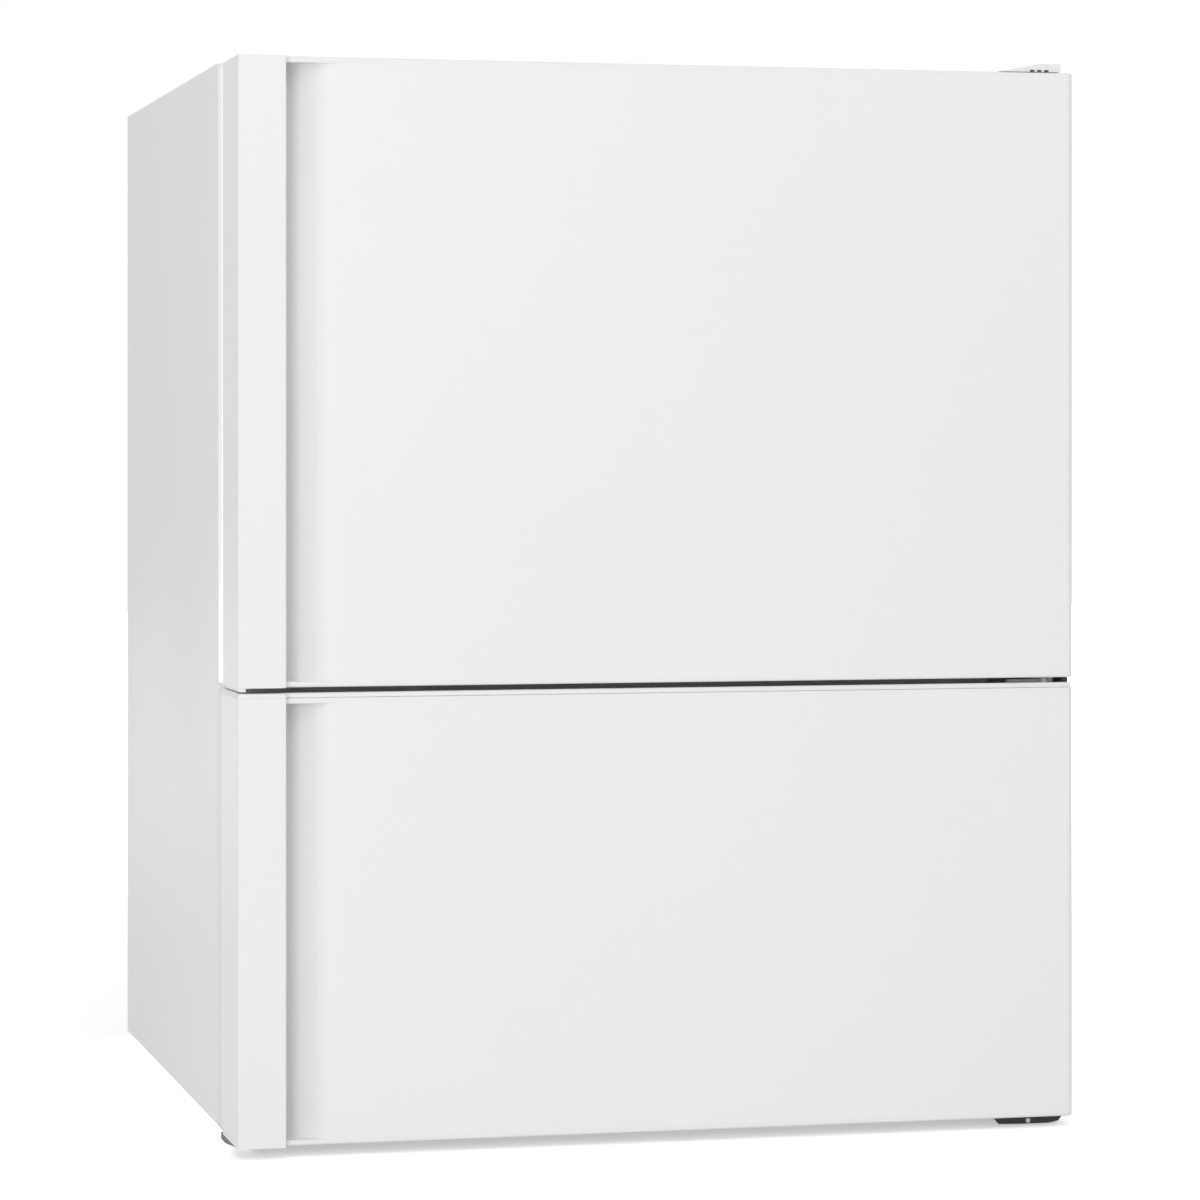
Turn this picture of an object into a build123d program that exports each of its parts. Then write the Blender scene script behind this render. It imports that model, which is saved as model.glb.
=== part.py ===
from build123d import *

import math
import os

# A fridge freezer: fridge above, freezer below, each behind its own hinged door

os.makedirs("parts", exist_ok=True)

# Overall form, in millimetres. X runs across the front, Y from front to back, Z up.
cabinet_width = 910.0
cabinet_depth = 752.0
cabinet_height = 1123.0
underside_height = 16.0
sheet = 1.0
tray_sheet = 1.5
liner_wall = 2.0
edge_radius = 12.0
front_flange = 30.0
rear_return = 15.0
running_gap = 0.3
shaft_clearance = 0.05

# Doors
lower_door_height = 462.5
door_clearance = 12.0
door_gap = 10.5
door_top_reveal = 3.0
skin_depth = 94.0
liner_skirt = 12.0
gasket_gap = 22.0
door_edge_radius = 8.0
cap_height = 6.0
cap_rounding = 2.5

# Grip: a strip stands over a pocket and the door's sheet curves down into it
strip_width = 50.0
strip_proud = 10.0
strip_wall = 3.0
strip_corner = 2.0
scoop_width = 46.0
pocket_depth = 28.0
post_width = 16.0
scoop_slope_run = 41.0
scoop_radius = 42.0
pocket_radius = 8.0
plug_radius = 5.0
plug_recess = 1.2
plug_setback = 57.0
plug_rise = 15.0

# Gaskets
gasket_width = 16.0
gasket_side_inset = 26.0
gasket_top_inset = 20.0
gasket_fridge_rail_inset = 13.0
gasket_freezer_rail_inset = 10.0
gasket_bottom_inset = 28.0
gasket_corner = 12.0
gasket_groove = 3.0

# Insulated walls and the space behind the freezer for the compressor
fridge_wall = 55.0
freezer_wall = 65.0
top_wall = 52.0
rear_wall = 69.0
floor_wall = 62.0
rail_height = 70.0
rail_face = 40.0
rail_return = 14.0
bay_depth = 220.0
bay_height = 190.0
bay_wall = 45.0
fridge_corner = 18.0
freezer_corner = 14.0

# Hinges
pin_inset = 24.0
pin_setback = 45.0
pin_radius = 4.0
pin_reach = 20.0
pin_hole_reach = 22.0
boss_radius = 12.0
boss_floor = 3.0
bush_radius = 9.0
hinge_plate = 4.0
hinge_crank = 7.0
top_plate_length = 166.0
hinge_plate_width = 66.0
hinge_side_margin = 4.0
hinge_nose = 16.0
hinge_corner = 10.0
hinge_flange_height = 28.0
hinge_flange_width = 50.0
cover_width = 69.0
cover_height = 9.0
cover_ramp = 47.0
cover_wall = 2.0
screw_head_radius = 4.5
screw_head_height = 2.6
screw_radius = 2.4

# Feet and rollers
foot_radius = 17.0
foot_height = 8.0
foot_stem_radius = 5.0
foot_stem_length = 30.0
foot_inset = 55.0
foot_setback = 38.0
foot_bracket_reach = 60.0
roller_radius = 15.0
roller_width = 18.0
roller_axle_radius = 3.0
roller_inset = 50.0
roller_rear_inset = 34.0
roller_cheek = 2.0
roller_cheek_width = 15.0

# Fridge interior
shelf_rib_width = 10.0
shelf_rib_height = 5.0
shelf_glass = 4.0
shelf_fit = 1.5
shelf_front_setback = 105.0
shelf_rear_setback = 20.0
shelf_trim_height = 14.0
shelf_trim_depth = 12.0
crisper_shelf_height = 164.0
lower_shelf_height = 289.0
upper_shelf_height = 414.0
crisper_wall = 2.5
crisper_draft = 2.0
crisper_corner = 16.0
crisper_setback = 140.0
crisper_rear_gap = 41.0
crisper_runner = 4.0
crisper_headroom = 14.0
crisper_front_wall = 5.0
crisper_split = 4.0
crisper_side_gap = 4.0
crisper_pull_length = 180.0
pull_reach = 9.0
pull_height = 7.0
duct_width = 180.0
duct_depth = 14.0
duct_slot_length = 44.0
duct_slot_height = 8.0
duct_slot_spread = 108.0
duct_slot_rows = 4
duct_draft = 8.0
lamp_width = 220.0
lamp_height = 32.0
lamp_depth = 190.0
lamp_setback = 270.0
lamp_corner = 10.0
lamp_edge = 5.0
lens_margin = 32.0
lens_corner = 8.0
knob_radius = 14.0
knob_height = 12.0
knob_stem_radius = 4.0
knob_grip = 7.0

# Freezer interior
drawer_count = 3
drawer_setback = 60.0
drawer_headroom = 13.0
drawer_foot = 5.0
drawer_wall = 2.5
drawer_draft = 1.5
drawer_corner = 14.0
drawer_side_gap = 14.0
drawer_rim = 4.0
drawer_front_wall = 5.0
drawer_rear_gap = 14.0
drawer_rib_height = 6.0
drawer_pull_length = 240.0
drawer_window_length = 260.0
drawer_window_height = 30.0
drawer_window_drop = 13.0
cover_setback = 76.0
cover_sheet = 3.0
grille_slot = 5.0
grille_pitch = 24.0
return_slots = 20
return_slot_height = 26.0
fan_slots = 8
fan_slot_circle = 22.0
fan_slot_length = 21.0
fan_radius = 36.0
fan_ring = 41.0
fan_hub_radius = 11.0
fan_blades = 5
fan_length = 14.0
fan_tip_chord = 20.0
fan_pitch_root = 50.0
fan_pitch_tip = 25.0
fan_blade_thickness = 1.6
fan_shaft_radius = 2.5
motor_radius = 17.0
motor_length = 22.0
motor_struts = 3
fin_count = 16
fin_pitch = 30.0
fin_thickness = 1.2
fin_height = 50.0
fin_depth = 44.0
coil_tube_radius = 4.0
coil_rows = 3
coil_pitch = 16.0
bend_flat = 1.0

# Door bins
dyke_width = 24.0
dyke_reach = 82.0
dyke_draft = 3.0
dyke_side = 79.0
dyke_end = 56.0
dyke_corner = 8.0
frame_reach = 24.0
frame_width = 30.0
frame_corner = 10.0
bin_depth = 100.0
bin_wall = 2.5
bin_draft = 2.0
bin_corner = 18.0
bin_end_gap = 8.0
bin_lug = 6.0
bin_rim = 3.0
bottle_bin_height = 110.0
small_bin_height = 75.0
bottle_bin_level = 50.0
top_bin_headroom = 57.0

# Cooling parts in the bay
compressor_x = 150.0
compressor_length = 190.0
compressor_breadth = 146.0
compressor_skirt = 74.0
compressor_dome = 72.0
compressor_seam = 4.0
compressor_rounding = 28.0
compressor_foot = 3.0
compressor_foot_length = 230.0
compressor_foot_breadth = 110.0
mount_radius = 11.0
mount_height = 14.0
mount_waist = 2.2
terminal_length = 64.0
terminal_depth = 18.0
condenser_x = -215.0
condenser_run = 290.0
condenser_rows = 7
condenser_pitch = 22.0
condenser_tube_radius = 3.0
condenser_plate = 1.5
condenser_plate_depth = 26.0
condenser_plate_margin = 12.0
condenser_plate_pitch = 110.0
drain_tray_length = 190.0
drain_tray_breadth = 120.0
drain_tray_height = 20.0
drain_tray_wall = 2.0
dryer_radius = 11.0
dryer_length = 80.0
pipe_radius = 3.0
pipe_bend = 12.0
dryer_bend = 9.0

# Positions that follow from the sizes above
half_width = cabinet_width / 2
total_depth = strip_proud + skin_depth + liner_skirt + gasket_gap + cabinet_depth
y_strip = -total_depth / 2
y_panel = y_strip + strip_proud
y_skin_back = y_panel + skin_depth
y_door_back = y_skin_back + liner_skirt
y_front = y_door_back + gasket_gap
y_rear = y_front + cabinet_depth
z_base = underside_height
z_top = z_base + cabinet_height
z_lower_door = door_clearance
z_lower_door_top = z_lower_door + lower_door_height
z_upper_door = z_lower_door_top + door_gap
z_upper_door_top = z_top - door_top_reveal
z_gap = (z_lower_door_top + z_upper_door) / 2
fridge_half = half_width - fridge_wall
freezer_half = half_width - freezer_wall
z_fridge_floor = z_gap + rail_height / 2
z_fridge_top = z_top - top_wall
z_freezer_top = z_gap - rail_height / 2
z_freezer_floor = z_base + floor_wall
y_cavity_back = y_rear - rear_wall
y_bay = y_rear - bay_depth
z_bay = z_base + bay_height
y_step = y_bay - bay_wall
z_step = z_bay + bay_wall
x_pin = half_width - pin_inset
y_pin = y_panel + pin_setback
inner_half = half_width - sheet
foot_x = half_width - foot_inset
roller_x = half_width - roller_inset
flange_half = half_width - front_flange


def block(x, y, z, mode=Mode.ADD):
    """A box between two limits on each axis."""
    with Locations(((x[0] + x[1]) / 2, (y[0] + y[1]) / 2, (z[0] + z[1]) / 2)):
        return Box(x[1] - x[0], y[1] - y[0], z[1] - z[0], mode=mode)


def facing_back(x, y, z):
    """A plane at a point, its normal along +Y and its own Y axis up."""
    return Plane(origin=(x, y, z), x_dir=(-1, 0, 0), z_dir=(0, 1, 0))


def facing_front(x, y, z):
    """A plane at a point, its normal along -Y and its own Y axis up."""
    return Plane(origin=(x, y, z), x_dir=(1, 0, 0), z_dir=(0, -1, 0))


# Cabinet shell: two folded side sheets, a top, a back and a base tray
with BuildPart() as right_side_panel:
    with BuildSketch(Plane.XY.offset(z_base)):
        with BuildLine():
            middle = sheet / 2
            FilletPolyline(
                (half_width - rear_return, y_rear - middle),
                (half_width - middle, y_rear - middle),
                (half_width - middle, y_front + middle),
                (flange_half, y_front + middle),
                radius=[sheet / 2, edge_radius],
            )
        trace(line_width=sheet)
    extrude(amount=cabinet_height)
right_side_panel.part.label = "right_side_panel"
export_step(right_side_panel.part, "parts/right_side_panel.step")

with BuildPart() as left_side_panel:
    add(mirror(right_side_panel.part, about=Plane.YZ, mode=Mode.PRIVATE))
left_side_panel.part.label = "left_side_panel"
export_step(left_side_panel.part, "parts/left_side_panel.step")

with BuildPart() as top_panel:
    with BuildSketch(Plane.XY.offset(z_top - sheet)) as top_outline:
        with Locations((0, (y_front + y_rear) / 2)):
            Rectangle(2 * inner_half, cabinet_depth - 2 * sheet)
        fillet(top_outline.vertices().group_by(Axis.Y)[0], edge_radius - sheet / 2)
    extrude(amount=sheet)
    block((-flange_half, flange_half), (y_front, y_front + sheet), (z_top - front_flange, z_top))
top_panel.part.label = "top_panel"
export_step(top_panel.part, "parts/top_panel.step")

with BuildPart() as back_panel:
    block((-inner_half, inner_half), (y_rear - 2 * sheet, y_rear - sheet), (z_bay + sheet, z_top - sheet))
back_panel.part.label = "back_panel"
export_step(back_panel.part, "parts/back_panel.step")

roller_slot = roller_width / 2 + 2 * roller_cheek + sheet
y_roller = y_rear - roller_rear_inset
y_foot = y_front + foot_setback
y_corner = y_front + edge_radius + sheet
with BuildPart() as base_tray:
    block((-inner_half, inner_half), (y_corner, y_rear - sheet), (z_base, z_base + tray_sheet))
    block((-flange_half, flange_half), (y_front, y_corner), (z_base, z_base + tray_sheet))
    block((-flange_half, flange_half), (y_front, y_front + tray_sheet),
          (z_base, z_freezer_floor - front_flange / 2))
    block((-inner_half + rear_return, inner_half - rear_return),
          (y_rear - 2 * sheet - tray_sheet, y_rear - 2 * sheet), (z_base, z_base + front_flange / 2))
    with Locations((-roller_x, y_roller, z_base), (roller_x, y_roller, z_base)):
        Box(2 * roller_slot, 2 * roller_radius + tray_sheet, 2 * front_flange, mode=Mode.SUBTRACT)
    with Locations((-foot_x, y_foot, z_base), (foot_x, y_foot, z_base)):
        Cylinder(foot_stem_radius + shaft_clearance, 4 * tray_sheet, mode=Mode.SUBTRACT)
base_tray.part.label = "base_tray"
export_step(base_tray.part, "parts/base_tray.step")

with BuildPart() as compressor_bay_wall:
    with BuildSketch(Plane.YZ.offset(-inner_half)):
        with BuildLine():
            FilletPolyline(
                (y_bay - sheet / 2, z_base + tray_sheet),
                (y_bay - sheet / 2, z_bay + sheet / 2),
                (y_rear - sheet, z_bay + sheet / 2),
                radius=[2 * sheet],
            )
        trace(line_width=sheet)
    extrude(amount=2 * inner_half)
compressor_bay_wall.part.label = "compressor_bay_wall"
export_step(compressor_bay_wall.part, "parts/compressor_bay_wall.step")

with BuildPart() as centre_rail:
    with BuildSketch(Plane.YZ.offset(-flange_half)):
        with BuildLine():
            low = z_gap - rail_face / 2 + sheet / 2
            high = z_gap + rail_face / 2 - sheet / 2
            FilletPolyline(
                (y_front + rail_return, low),
                (y_front + sheet / 2, low),
                (y_front + sheet / 2, high),
                (y_front + rail_return, high),
                radius=[2 * sheet, 2 * sheet],
            )
        trace(line_width=sheet)
    extrude(amount=2 * flange_half)
centre_rail.part.label = "centre_rail"
export_step(centre_rail.part, "parts/centre_rail.step")

# Foam fills the space between the shell and the two liners
y_foam = y_front + liner_wall
with BuildPart() as cabinet_insulation:
    block((-inner_half, inner_half), (y_corner, y_rear - 2 * sheet),
          (z_base + tray_sheet, z_top - sheet))
    block((-inner_half + edge_radius, inner_half - edge_radius), (y_foam, y_corner),
          (z_base + tray_sheet, z_top - sheet))
    block((-fridge_half, fridge_half), (y_foam, y_cavity_back), (z_fridge_floor, z_fridge_top),
          mode=Mode.SUBTRACT)
    block((-freezer_half, freezer_half), (y_foam, y_step), (z_freezer_floor, z_freezer_top),
          mode=Mode.SUBTRACT)
    block((-freezer_half, freezer_half), (y_foam, y_cavity_back), (z_step, z_freezer_top),
          mode=Mode.SUBTRACT)
    block((-half_width, half_width), (y_bay - sheet, y_rear), (z_base, z_bay + sheet), mode=Mode.SUBTRACT)
    block((-flange_half, flange_half), (y_foam, y_front + rail_return),
          (z_gap - rail_face / 2, z_gap + rail_face / 2), mode=Mode.SUBTRACT)
    with Locations((-foot_x, y_foot, z_base), (foot_x, y_foot, z_base)):
        Cylinder(foot_stem_radius + 2 * running_gap, 2 * foot_stem_length, mode=Mode.SUBTRACT)
    # The foam is rounded over the step, as the freezer liner is
    step_edges = cabinet_insulation.edges().filter_by(Axis.X)
    fillet(step_edges.sort_by_distance((0, y_step, z_step))[0], freezer_corner)
cabinet_insulation.part.label = "cabinet_insulation"
export_step(cabinet_insulation.part, "parts/cabinet_insulation.step")

# Liners: formed plastic tubs with a rim round the mouth and ribs for what slides in
shelf_levels = [z_fridge_floor + h for h in (crisper_shelf_height, lower_shelf_height, upper_shelf_height)]
fridge_inner = fridge_half - liner_wall
y_shelf = (y_front + shelf_front_setback, y_cavity_back - shelf_rear_setback)
z_fridge_inner_floor = z_fridge_floor + liner_wall
with BuildPart() as fridge_liner:
    block((-fridge_half, fridge_half), (y_front, y_cavity_back), (z_fridge_floor, z_fridge_top))
    corners = fridge_liner.edges().filter_by(Axis.Y) + fridge_liner.edges().group_by(Axis.Y)[-1]
    fillet(corners, fridge_corner)
    offset(amount=-liner_wall, openings=fridge_liner.faces().sort_by(Axis.Y)[0])
    with BuildSketch(facing_back(0, y_front, 0)):
        with Locations((0, (z_gap + rail_face / 2 + z_top - front_flange) / 2)):
            Rectangle(2 * flange_half, z_top - front_flange - z_gap - rail_face / 2)
        with Locations((0, (z_fridge_floor + z_fridge_top) / 2)):
            RectangleRounded(2 * fridge_inner, z_fridge_top - z_fridge_floor - 2 * liner_wall,
                             fridge_corner - liner_wall, mode=Mode.SUBTRACT)
    extrude(amount=liner_wall)
    for side in (-1, 1):
        for level in shelf_levels:
            rib = [side * (fridge_inner - shelf_rib_width), side * (fridge_inner + liner_wall / 2)]
            block((min(rib), max(rib)), (y_shelf[0] + shelf_trim_depth, y_shelf[1]),
                  (level - shelf_rib_height, level))
        for x in (side * crisper_corner, side * (fridge_inner - 2 * crisper_corner)):
            block((x - crisper_runner / 2, x + crisper_runner / 2),
                  (y_front + crisper_setback - crisper_corner, y_cavity_back - 2 * fridge_corner),
                  (z_fridge_floor + liner_wall / 2, z_fridge_inner_floor + crisper_runner))
fridge_liner.part.label = "fridge_liner"
export_step(fridge_liner.part, "parts/fridge_liner.step")

freezer_inner = freezer_half - liner_wall
z_freezer_inner_floor = z_freezer_floor + liner_wall
z_step_floor = z_step + liner_wall
drawer_pitch = (z_freezer_top - z_freezer_floor - 2 * liner_wall) / drawer_count
drawer_height = drawer_pitch - drawer_headroom
drawer_floors = [z_freezer_inner_floor + drawer_foot + i * drawer_pitch for i in range(drawer_count)]
y_drawer = y_front + drawer_setback
y_cover = y_cavity_back - cover_setback
drawer_limits = [y_step if z < z_step_floor else y_cover for z in drawer_floors]
drawer_backs = [limit - drawer_rear_gap for limit in drawer_limits]
with BuildPart() as freezer_liner:
    with BuildSketch(Plane.YZ.offset(-freezer_half)):
        with BuildLine():
            Polyline(
                (y_front, z_freezer_floor),
                (y_step, z_freezer_floor),
                (y_step, z_step),
                (y_cavity_back, z_step),
                (y_cavity_back, z_freezer_top),
                (y_front, z_freezer_top),
                close=True,
            )
        make_face()
    extrude(amount=2 * freezer_half)
    fillet(freezer_liner.edges().filter_by(lambda e: e.center().Y > y_front + sheet), freezer_corner)
    offset(amount=-liner_wall, openings=freezer_liner.faces().sort_by(Axis.Y)[0])
    rim_bottom = z_freezer_floor - front_flange / 2
    rim_top = z_gap - rail_face / 2
    with BuildSketch(facing_back(0, y_front, 0)):
        with Locations((0, (rim_bottom + rim_top) / 2)):
            Rectangle(2 * flange_half, rim_top - rim_bottom)
        with Locations((0, (z_freezer_floor + z_freezer_top) / 2)):
            RectangleRounded(2 * freezer_inner, z_freezer_top - z_freezer_floor - 2 * liner_wall,
                             freezer_corner - liner_wall, mode=Mode.SUBTRACT)
    extrude(amount=liner_wall)
    # Each drawer hangs by its rim on a pair of ribs
    for side in (-1, 1):
        for floor, back in zip(drawer_floors, drawer_backs):
            rib_top = floor + drawer_height - drawer_rim - running_gap
            rib = [side * (freezer_inner - shelf_rib_width), side * (freezer_inner + liner_wall / 2)]
            block((min(rib), max(rib)), (y_drawer + drawer_front_wall + liner_wall, back),
                  (rib_top - drawer_rib_height, rib_top))
freezer_liner.part.label = "freezer_liner"
export_step(freezer_liner.part, "parts/freezer_liner.step")

# Hinges: the doors hang between plates fixed to the cabinet's right front edge
x_plate = (half_width - hinge_side_margin - hinge_plate_width, half_width - hinge_side_margin)
z_top_plate = z_top + hinge_plate
z_bottom_plate = z_base - hinge_crank
x_top_plate = (x_pin - boss_radius - cover_wall, x_pin + boss_radius + cover_wall)
y_plate_nose = y_pin - hinge_nose
y_top_plate_back = y_plate_nose + top_plate_length
top_screws = [(x_pin, y_top_plate_back - boss_radius), (x_pin, y_front + 2 * boss_radius)]
middle_screws = [x_pin - bush_radius, x_pin - 3 * bush_radius]
bottom_screws = [(x_pin, y_foot - boss_radius), (x_pin, y_foot + boss_radius)]

with BuildPart() as top_hinge_bracket:
    with BuildSketch(Plane.XY.offset(z_top)):
        with BuildLine():
            FilletPolyline(
                (x_top_plate[0], y_top_plate_back),
                (x_top_plate[0], y_plate_nose),
                (x_top_plate[1], y_plate_nose),
                (x_top_plate[1], y_top_plate_back),
                radius=[hinge_corner] * 4,
                close=True,
            )
        make_face()
        with Locations(*top_screws):
            Circle(screw_radius, mode=Mode.SUBTRACT)
    extrude(amount=hinge_plate)
    with Locations((x_pin, y_pin, z_top)):
        Cylinder(pin_radius, door_top_reveal + pin_reach, align=(Align.CENTER, Align.CENTER, Align.MAX))
top_hinge_bracket.part.label = "top_hinge_bracket"
export_step(top_hinge_bracket.part, "parts/top_hinge_bracket.step")

# Moulded cover over the top hinge, with a ramp on its inner end
x_cover_right = x_top_plate[1] + 2 * cover_wall
x_cover_left = x_cover_right - cover_width
y_cover_front = y_plate_nose - 2 * cover_wall
cover_length = top_plate_length + 4 * cover_wall
with BuildPart() as top_hinge_cover:
    with BuildSketch(facing_back(0, y_cover_front, 0)):
        with BuildLine():
            FilletPolyline(
                (-x_cover_left, z_top),
                (-x_cover_left - cover_ramp, z_top + cover_height),
                (-x_cover_right, z_top + cover_height),
                (-x_cover_right, z_top),
                radius=[0, 4 * cover_height, cover_wall, 0],
                close=True,
            )
        make_face()
    extrude(amount=cover_length)
    fillet(top_hinge_cover.edges().filter_by(Axis.Z).group_by(Axis.Y)[0], cover_wall)
    with BuildSketch(facing_back(0, y_cover_front + cover_wall, 0)):
        with BuildLine():
            Polyline(
                (-x_top_plate[0] + running_gap, z_top),
                (-x_top_plate[0] + running_gap, z_top + cover_height - cover_wall),
                (-x_cover_right + cover_wall, z_top + cover_height - cover_wall),
                (-x_cover_right + cover_wall, z_top),
                close=True,
            )
        make_face()
    extrude(amount=cover_length - 2 * cover_wall, mode=Mode.SUBTRACT)
top_hinge_cover.part.label = "top_hinge_cover"
export_step(top_hinge_cover.part, "parts/top_hinge_cover.step")

z_middle_plate = (z_gap - hinge_plate / 2, z_gap + hinge_plate / 2)
with BuildPart() as middle_hinge_bracket:
    with BuildSketch(Plane.XY.offset(z_middle_plate[0])):
        with BuildLine():
            FilletPolyline(
                (x_plate[1] - hinge_flange_width, y_front),
                (x_plate[0], y_plate_nose),
                (x_plate[1], y_plate_nose),
                (x_plate[1], y_front),
                radius=[0, hinge_corner, hinge_corner, 0],
                close=True,
            )
        make_face()
    extrude(amount=hinge_plate)
    with BuildSketch(facing_front(x_plate[1] - hinge_flange_width / 2, y_front, z_gap)):
        RectangleRounded(hinge_flange_width, hinge_flange_height, hinge_plate)
        with Locations(*[(x - x_plate[1] + hinge_flange_width / 2, -bush_radius) for x in middle_screws]):
            Circle(screw_radius, mode=Mode.SUBTRACT)
    extrude(amount=hinge_plate)
    with Locations((x_pin, y_pin, z_gap)):
        Cylinder(pin_radius, door_gap + 2 * pin_reach)
middle_hinge_bracket.part.label = "middle_hinge_bracket"
export_step(middle_hinge_bracket.part, "parts/middle_hinge_bracket.step")


def foot_bracket(x_range, y_nose):
    """A cranked plate under the cabinet's front corner; it steps down to pass below the door."""
    middle = z_base - hinge_plate / 2
    with BuildPart() as plate:
        with BuildSketch(Plane.YZ.offset(x_range[0])):
            with BuildLine():
                FilletPolyline(
                    (y_foot + foot_bracket_reach / 2, middle),
                    (y_front - hinge_plate, middle),
                    (y_front - hinge_plate - 2 * hinge_crank, middle - hinge_crank),
                    (y_nose, middle - hinge_crank),
                    radius=[hinge_plate, hinge_plate],
                )
            trace(line_width=hinge_plate)
        extrude(amount=x_range[1] - x_range[0])
        fillet(plate.edges().filter_by(Axis.Z).group_by(Axis.Y)[0], hinge_corner)
    return plate.part


bottom_plate = foot_bracket(x_plate, y_plate_nose)
with BuildPart() as bottom_hinge_bracket:
    add(bottom_plate)
    with Locations((foot_x, y_foot, z_base)):
        Cylinder(foot_stem_radius + shaft_clearance, 4 * hinge_plate, mode=Mode.SUBTRACT)
    with Locations(*[(x, y, z_base) for x, y in bottom_screws]):
        Cylinder(screw_radius, 4 * hinge_plate, mode=Mode.SUBTRACT)
    with Locations((x_pin, y_pin, z_bottom_plate)):
        Cylinder(pin_radius, z_lower_door - z_bottom_plate + pin_reach,
                 align=(Align.CENTER, Align.CENTER, Align.MIN))
bottom_hinge_bracket.part.label = "bottom_hinge_bracket"
export_step(bottom_hinge_bracket.part, "parts/bottom_hinge_bracket.step")

left_plate = foot_bracket((-x_plate[1], -x_plate[0]), y_front - foot_bracket_reach / 2)
with BuildPart() as left_foot_bracket:
    add(left_plate)
    with Locations((-foot_x, y_foot, z_base)):
        Cylinder(foot_stem_radius + shaft_clearance, 4 * hinge_plate, mode=Mode.SUBTRACT)
    with Locations(*[(-x, y, z_base) for x, y in bottom_screws]):
        Cylinder(screw_radius, 4 * hinge_plate, mode=Mode.SUBTRACT)
left_foot_bracket.part.label = "left_foot_bracket"
export_step(left_foot_bracket.part, "parts/left_foot_bracket.step")


def screw(plane, shank):
    """A pan head screw, seated on a plane, its shank running back along the plane's normal."""
    with BuildPart(plane) as fastener:
        Cylinder(screw_head_radius, screw_head_height, align=(Align.CENTER, Align.CENTER, Align.MIN))
        fillet(fastener.edges().sort_by(lambda e: (e.center() - plane.origin).dot(plane.z_dir))[-1], sheet)
        Cylinder(screw_radius, shank, align=(Align.CENTER, Align.CENTER, Align.MAX))
    return fastener.part


screws = [screw(Plane(origin=(x, y, z_top_plate)), hinge_plate) for x, y in top_screws]
screws += [
    screw(facing_front(x, y_front - hinge_plate, z_gap - bush_radius), hinge_plate)
    for x in middle_screws
]
screws += [
    screw(Plane(origin=(side * x, y, z_base - hinge_plate), z_dir=(0, 0, -1)), hinge_plate)
    for side in (-1, 1)
    for x, y in bottom_screws
]
with BuildPart() as hinge_screws:
    add(screws)
hinge_screws.part.label = "hinge_screws"
export_step(hinge_screws.part, "parts/hinge_screws.step")

# Levelling feet turn in the brackets; rollers carry the rear corners
for name, side in (("left_front_foot", -1), ("right_front_foot", 1)):
    with BuildPart() as foot:
        with Locations((side * foot_x, y_foot, 0)):
            Cylinder(foot_radius, foot_height, align=(Align.CENTER, Align.CENTER, Align.MIN))
        chamfer(foot.edges().group_by(Axis.Z)[-1], sheet)
        # Four flats let a spanner turn the foot
        with Locations((side * foot_x, y_foot, foot_height)):
            with PolarLocations(foot_radius + sheet, 4):
                Box(4 * sheet, foot_radius, foot_height, mode=Mode.SUBTRACT)
        with Locations((side * foot_x, y_foot, foot_height)):
            Cylinder(foot_stem_radius, foot_stem_length, align=(Align.CENTER, Align.CENTER, Align.MIN))
    foot.part.label = name
    export_step(foot.part, f"parts/{name}.step")

cheek_inner = roller_width / 2 + sheet
cheek_outer = cheek_inner + roller_cheek
y_cheek = (y_roller - roller_cheek_width / 2, y_roller + roller_cheek_width / 2)
z_tab = (z_base + tray_sheet, z_base + tray_sheet + roller_cheek)
z_axle = roller_radius
with BuildPart() as roller_brackets:
    for side in (-1, 1):
        for end in (-1, 1):
            cheek = sorted([side * roller_x + end * cheek_inner, side * roller_x + end * cheek_outer])
            tab = sorted([side * roller_x + end * cheek_inner, side * roller_x + end * 2 * roller_slot])
            block(cheek, y_cheek, (z_axle - roller_cheek_width / 2, z_tab[1]))
            block(tab, y_cheek, z_tab)
        with Locations(Location((side * roller_x, y_roller, z_axle), (0, 90, 0))):
            Cylinder(roller_axle_radius, 2 * cheek_outer)
roller_brackets.part.label = "roller_brackets"
export_step(roller_brackets.part, "parts/roller_brackets.step")

for name, side in (("left_rear_roller", -1), ("right_rear_roller", 1)):
    with BuildPart() as roller:
        with Locations(Location((side * roller_x, y_roller, z_axle), (0, 90, 0))):
            Cylinder(roller_radius, roller_width)
            chamfer(roller.edges().filter_by(GeomType.CIRCLE), sheet)
            Cylinder(roller_axle_radius + shaft_clearance, 2 * roller_width, mode=Mode.SUBTRACT)
    roller.part.label = name
    export_step(roller.part, f"parts/{name}.step")


# Boxes that lift, slide or hook in: crispers, freezer drawers and door bins
def tub(x, y, z, corner, wall, draft):
    """An open box with drafted walls; x and y give its size at the mouth, z its floor and mouth."""
    height = z[1] - z[0]
    spread = 2 * height * math.tan(math.radians(draft))
    centre = ((x[0] + x[1]) / 2, (y[0] + y[1]) / 2)
    size = (x[1] - x[0], y[1] - y[0])
    rise = 2 * wall * math.tan(math.radians(draft))
    floor_loss = spread + 2 * wall - rise
    with BuildPart() as shell:
        with BuildSketch(Plane(origin=(*centre, z[0]))):
            RectangleRounded(size[0] - spread, size[1] - spread, corner)
        extrude(amount=height, taper=-draft)
        with BuildSketch(Plane(origin=(*centre, z[0] + wall))):
            RectangleRounded(size[0] - floor_loss, size[1] - floor_loss, corner - wall)
        extrude(amount=height, taper=-draft, mode=Mode.SUBTRACT)
    return shell.part


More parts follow.
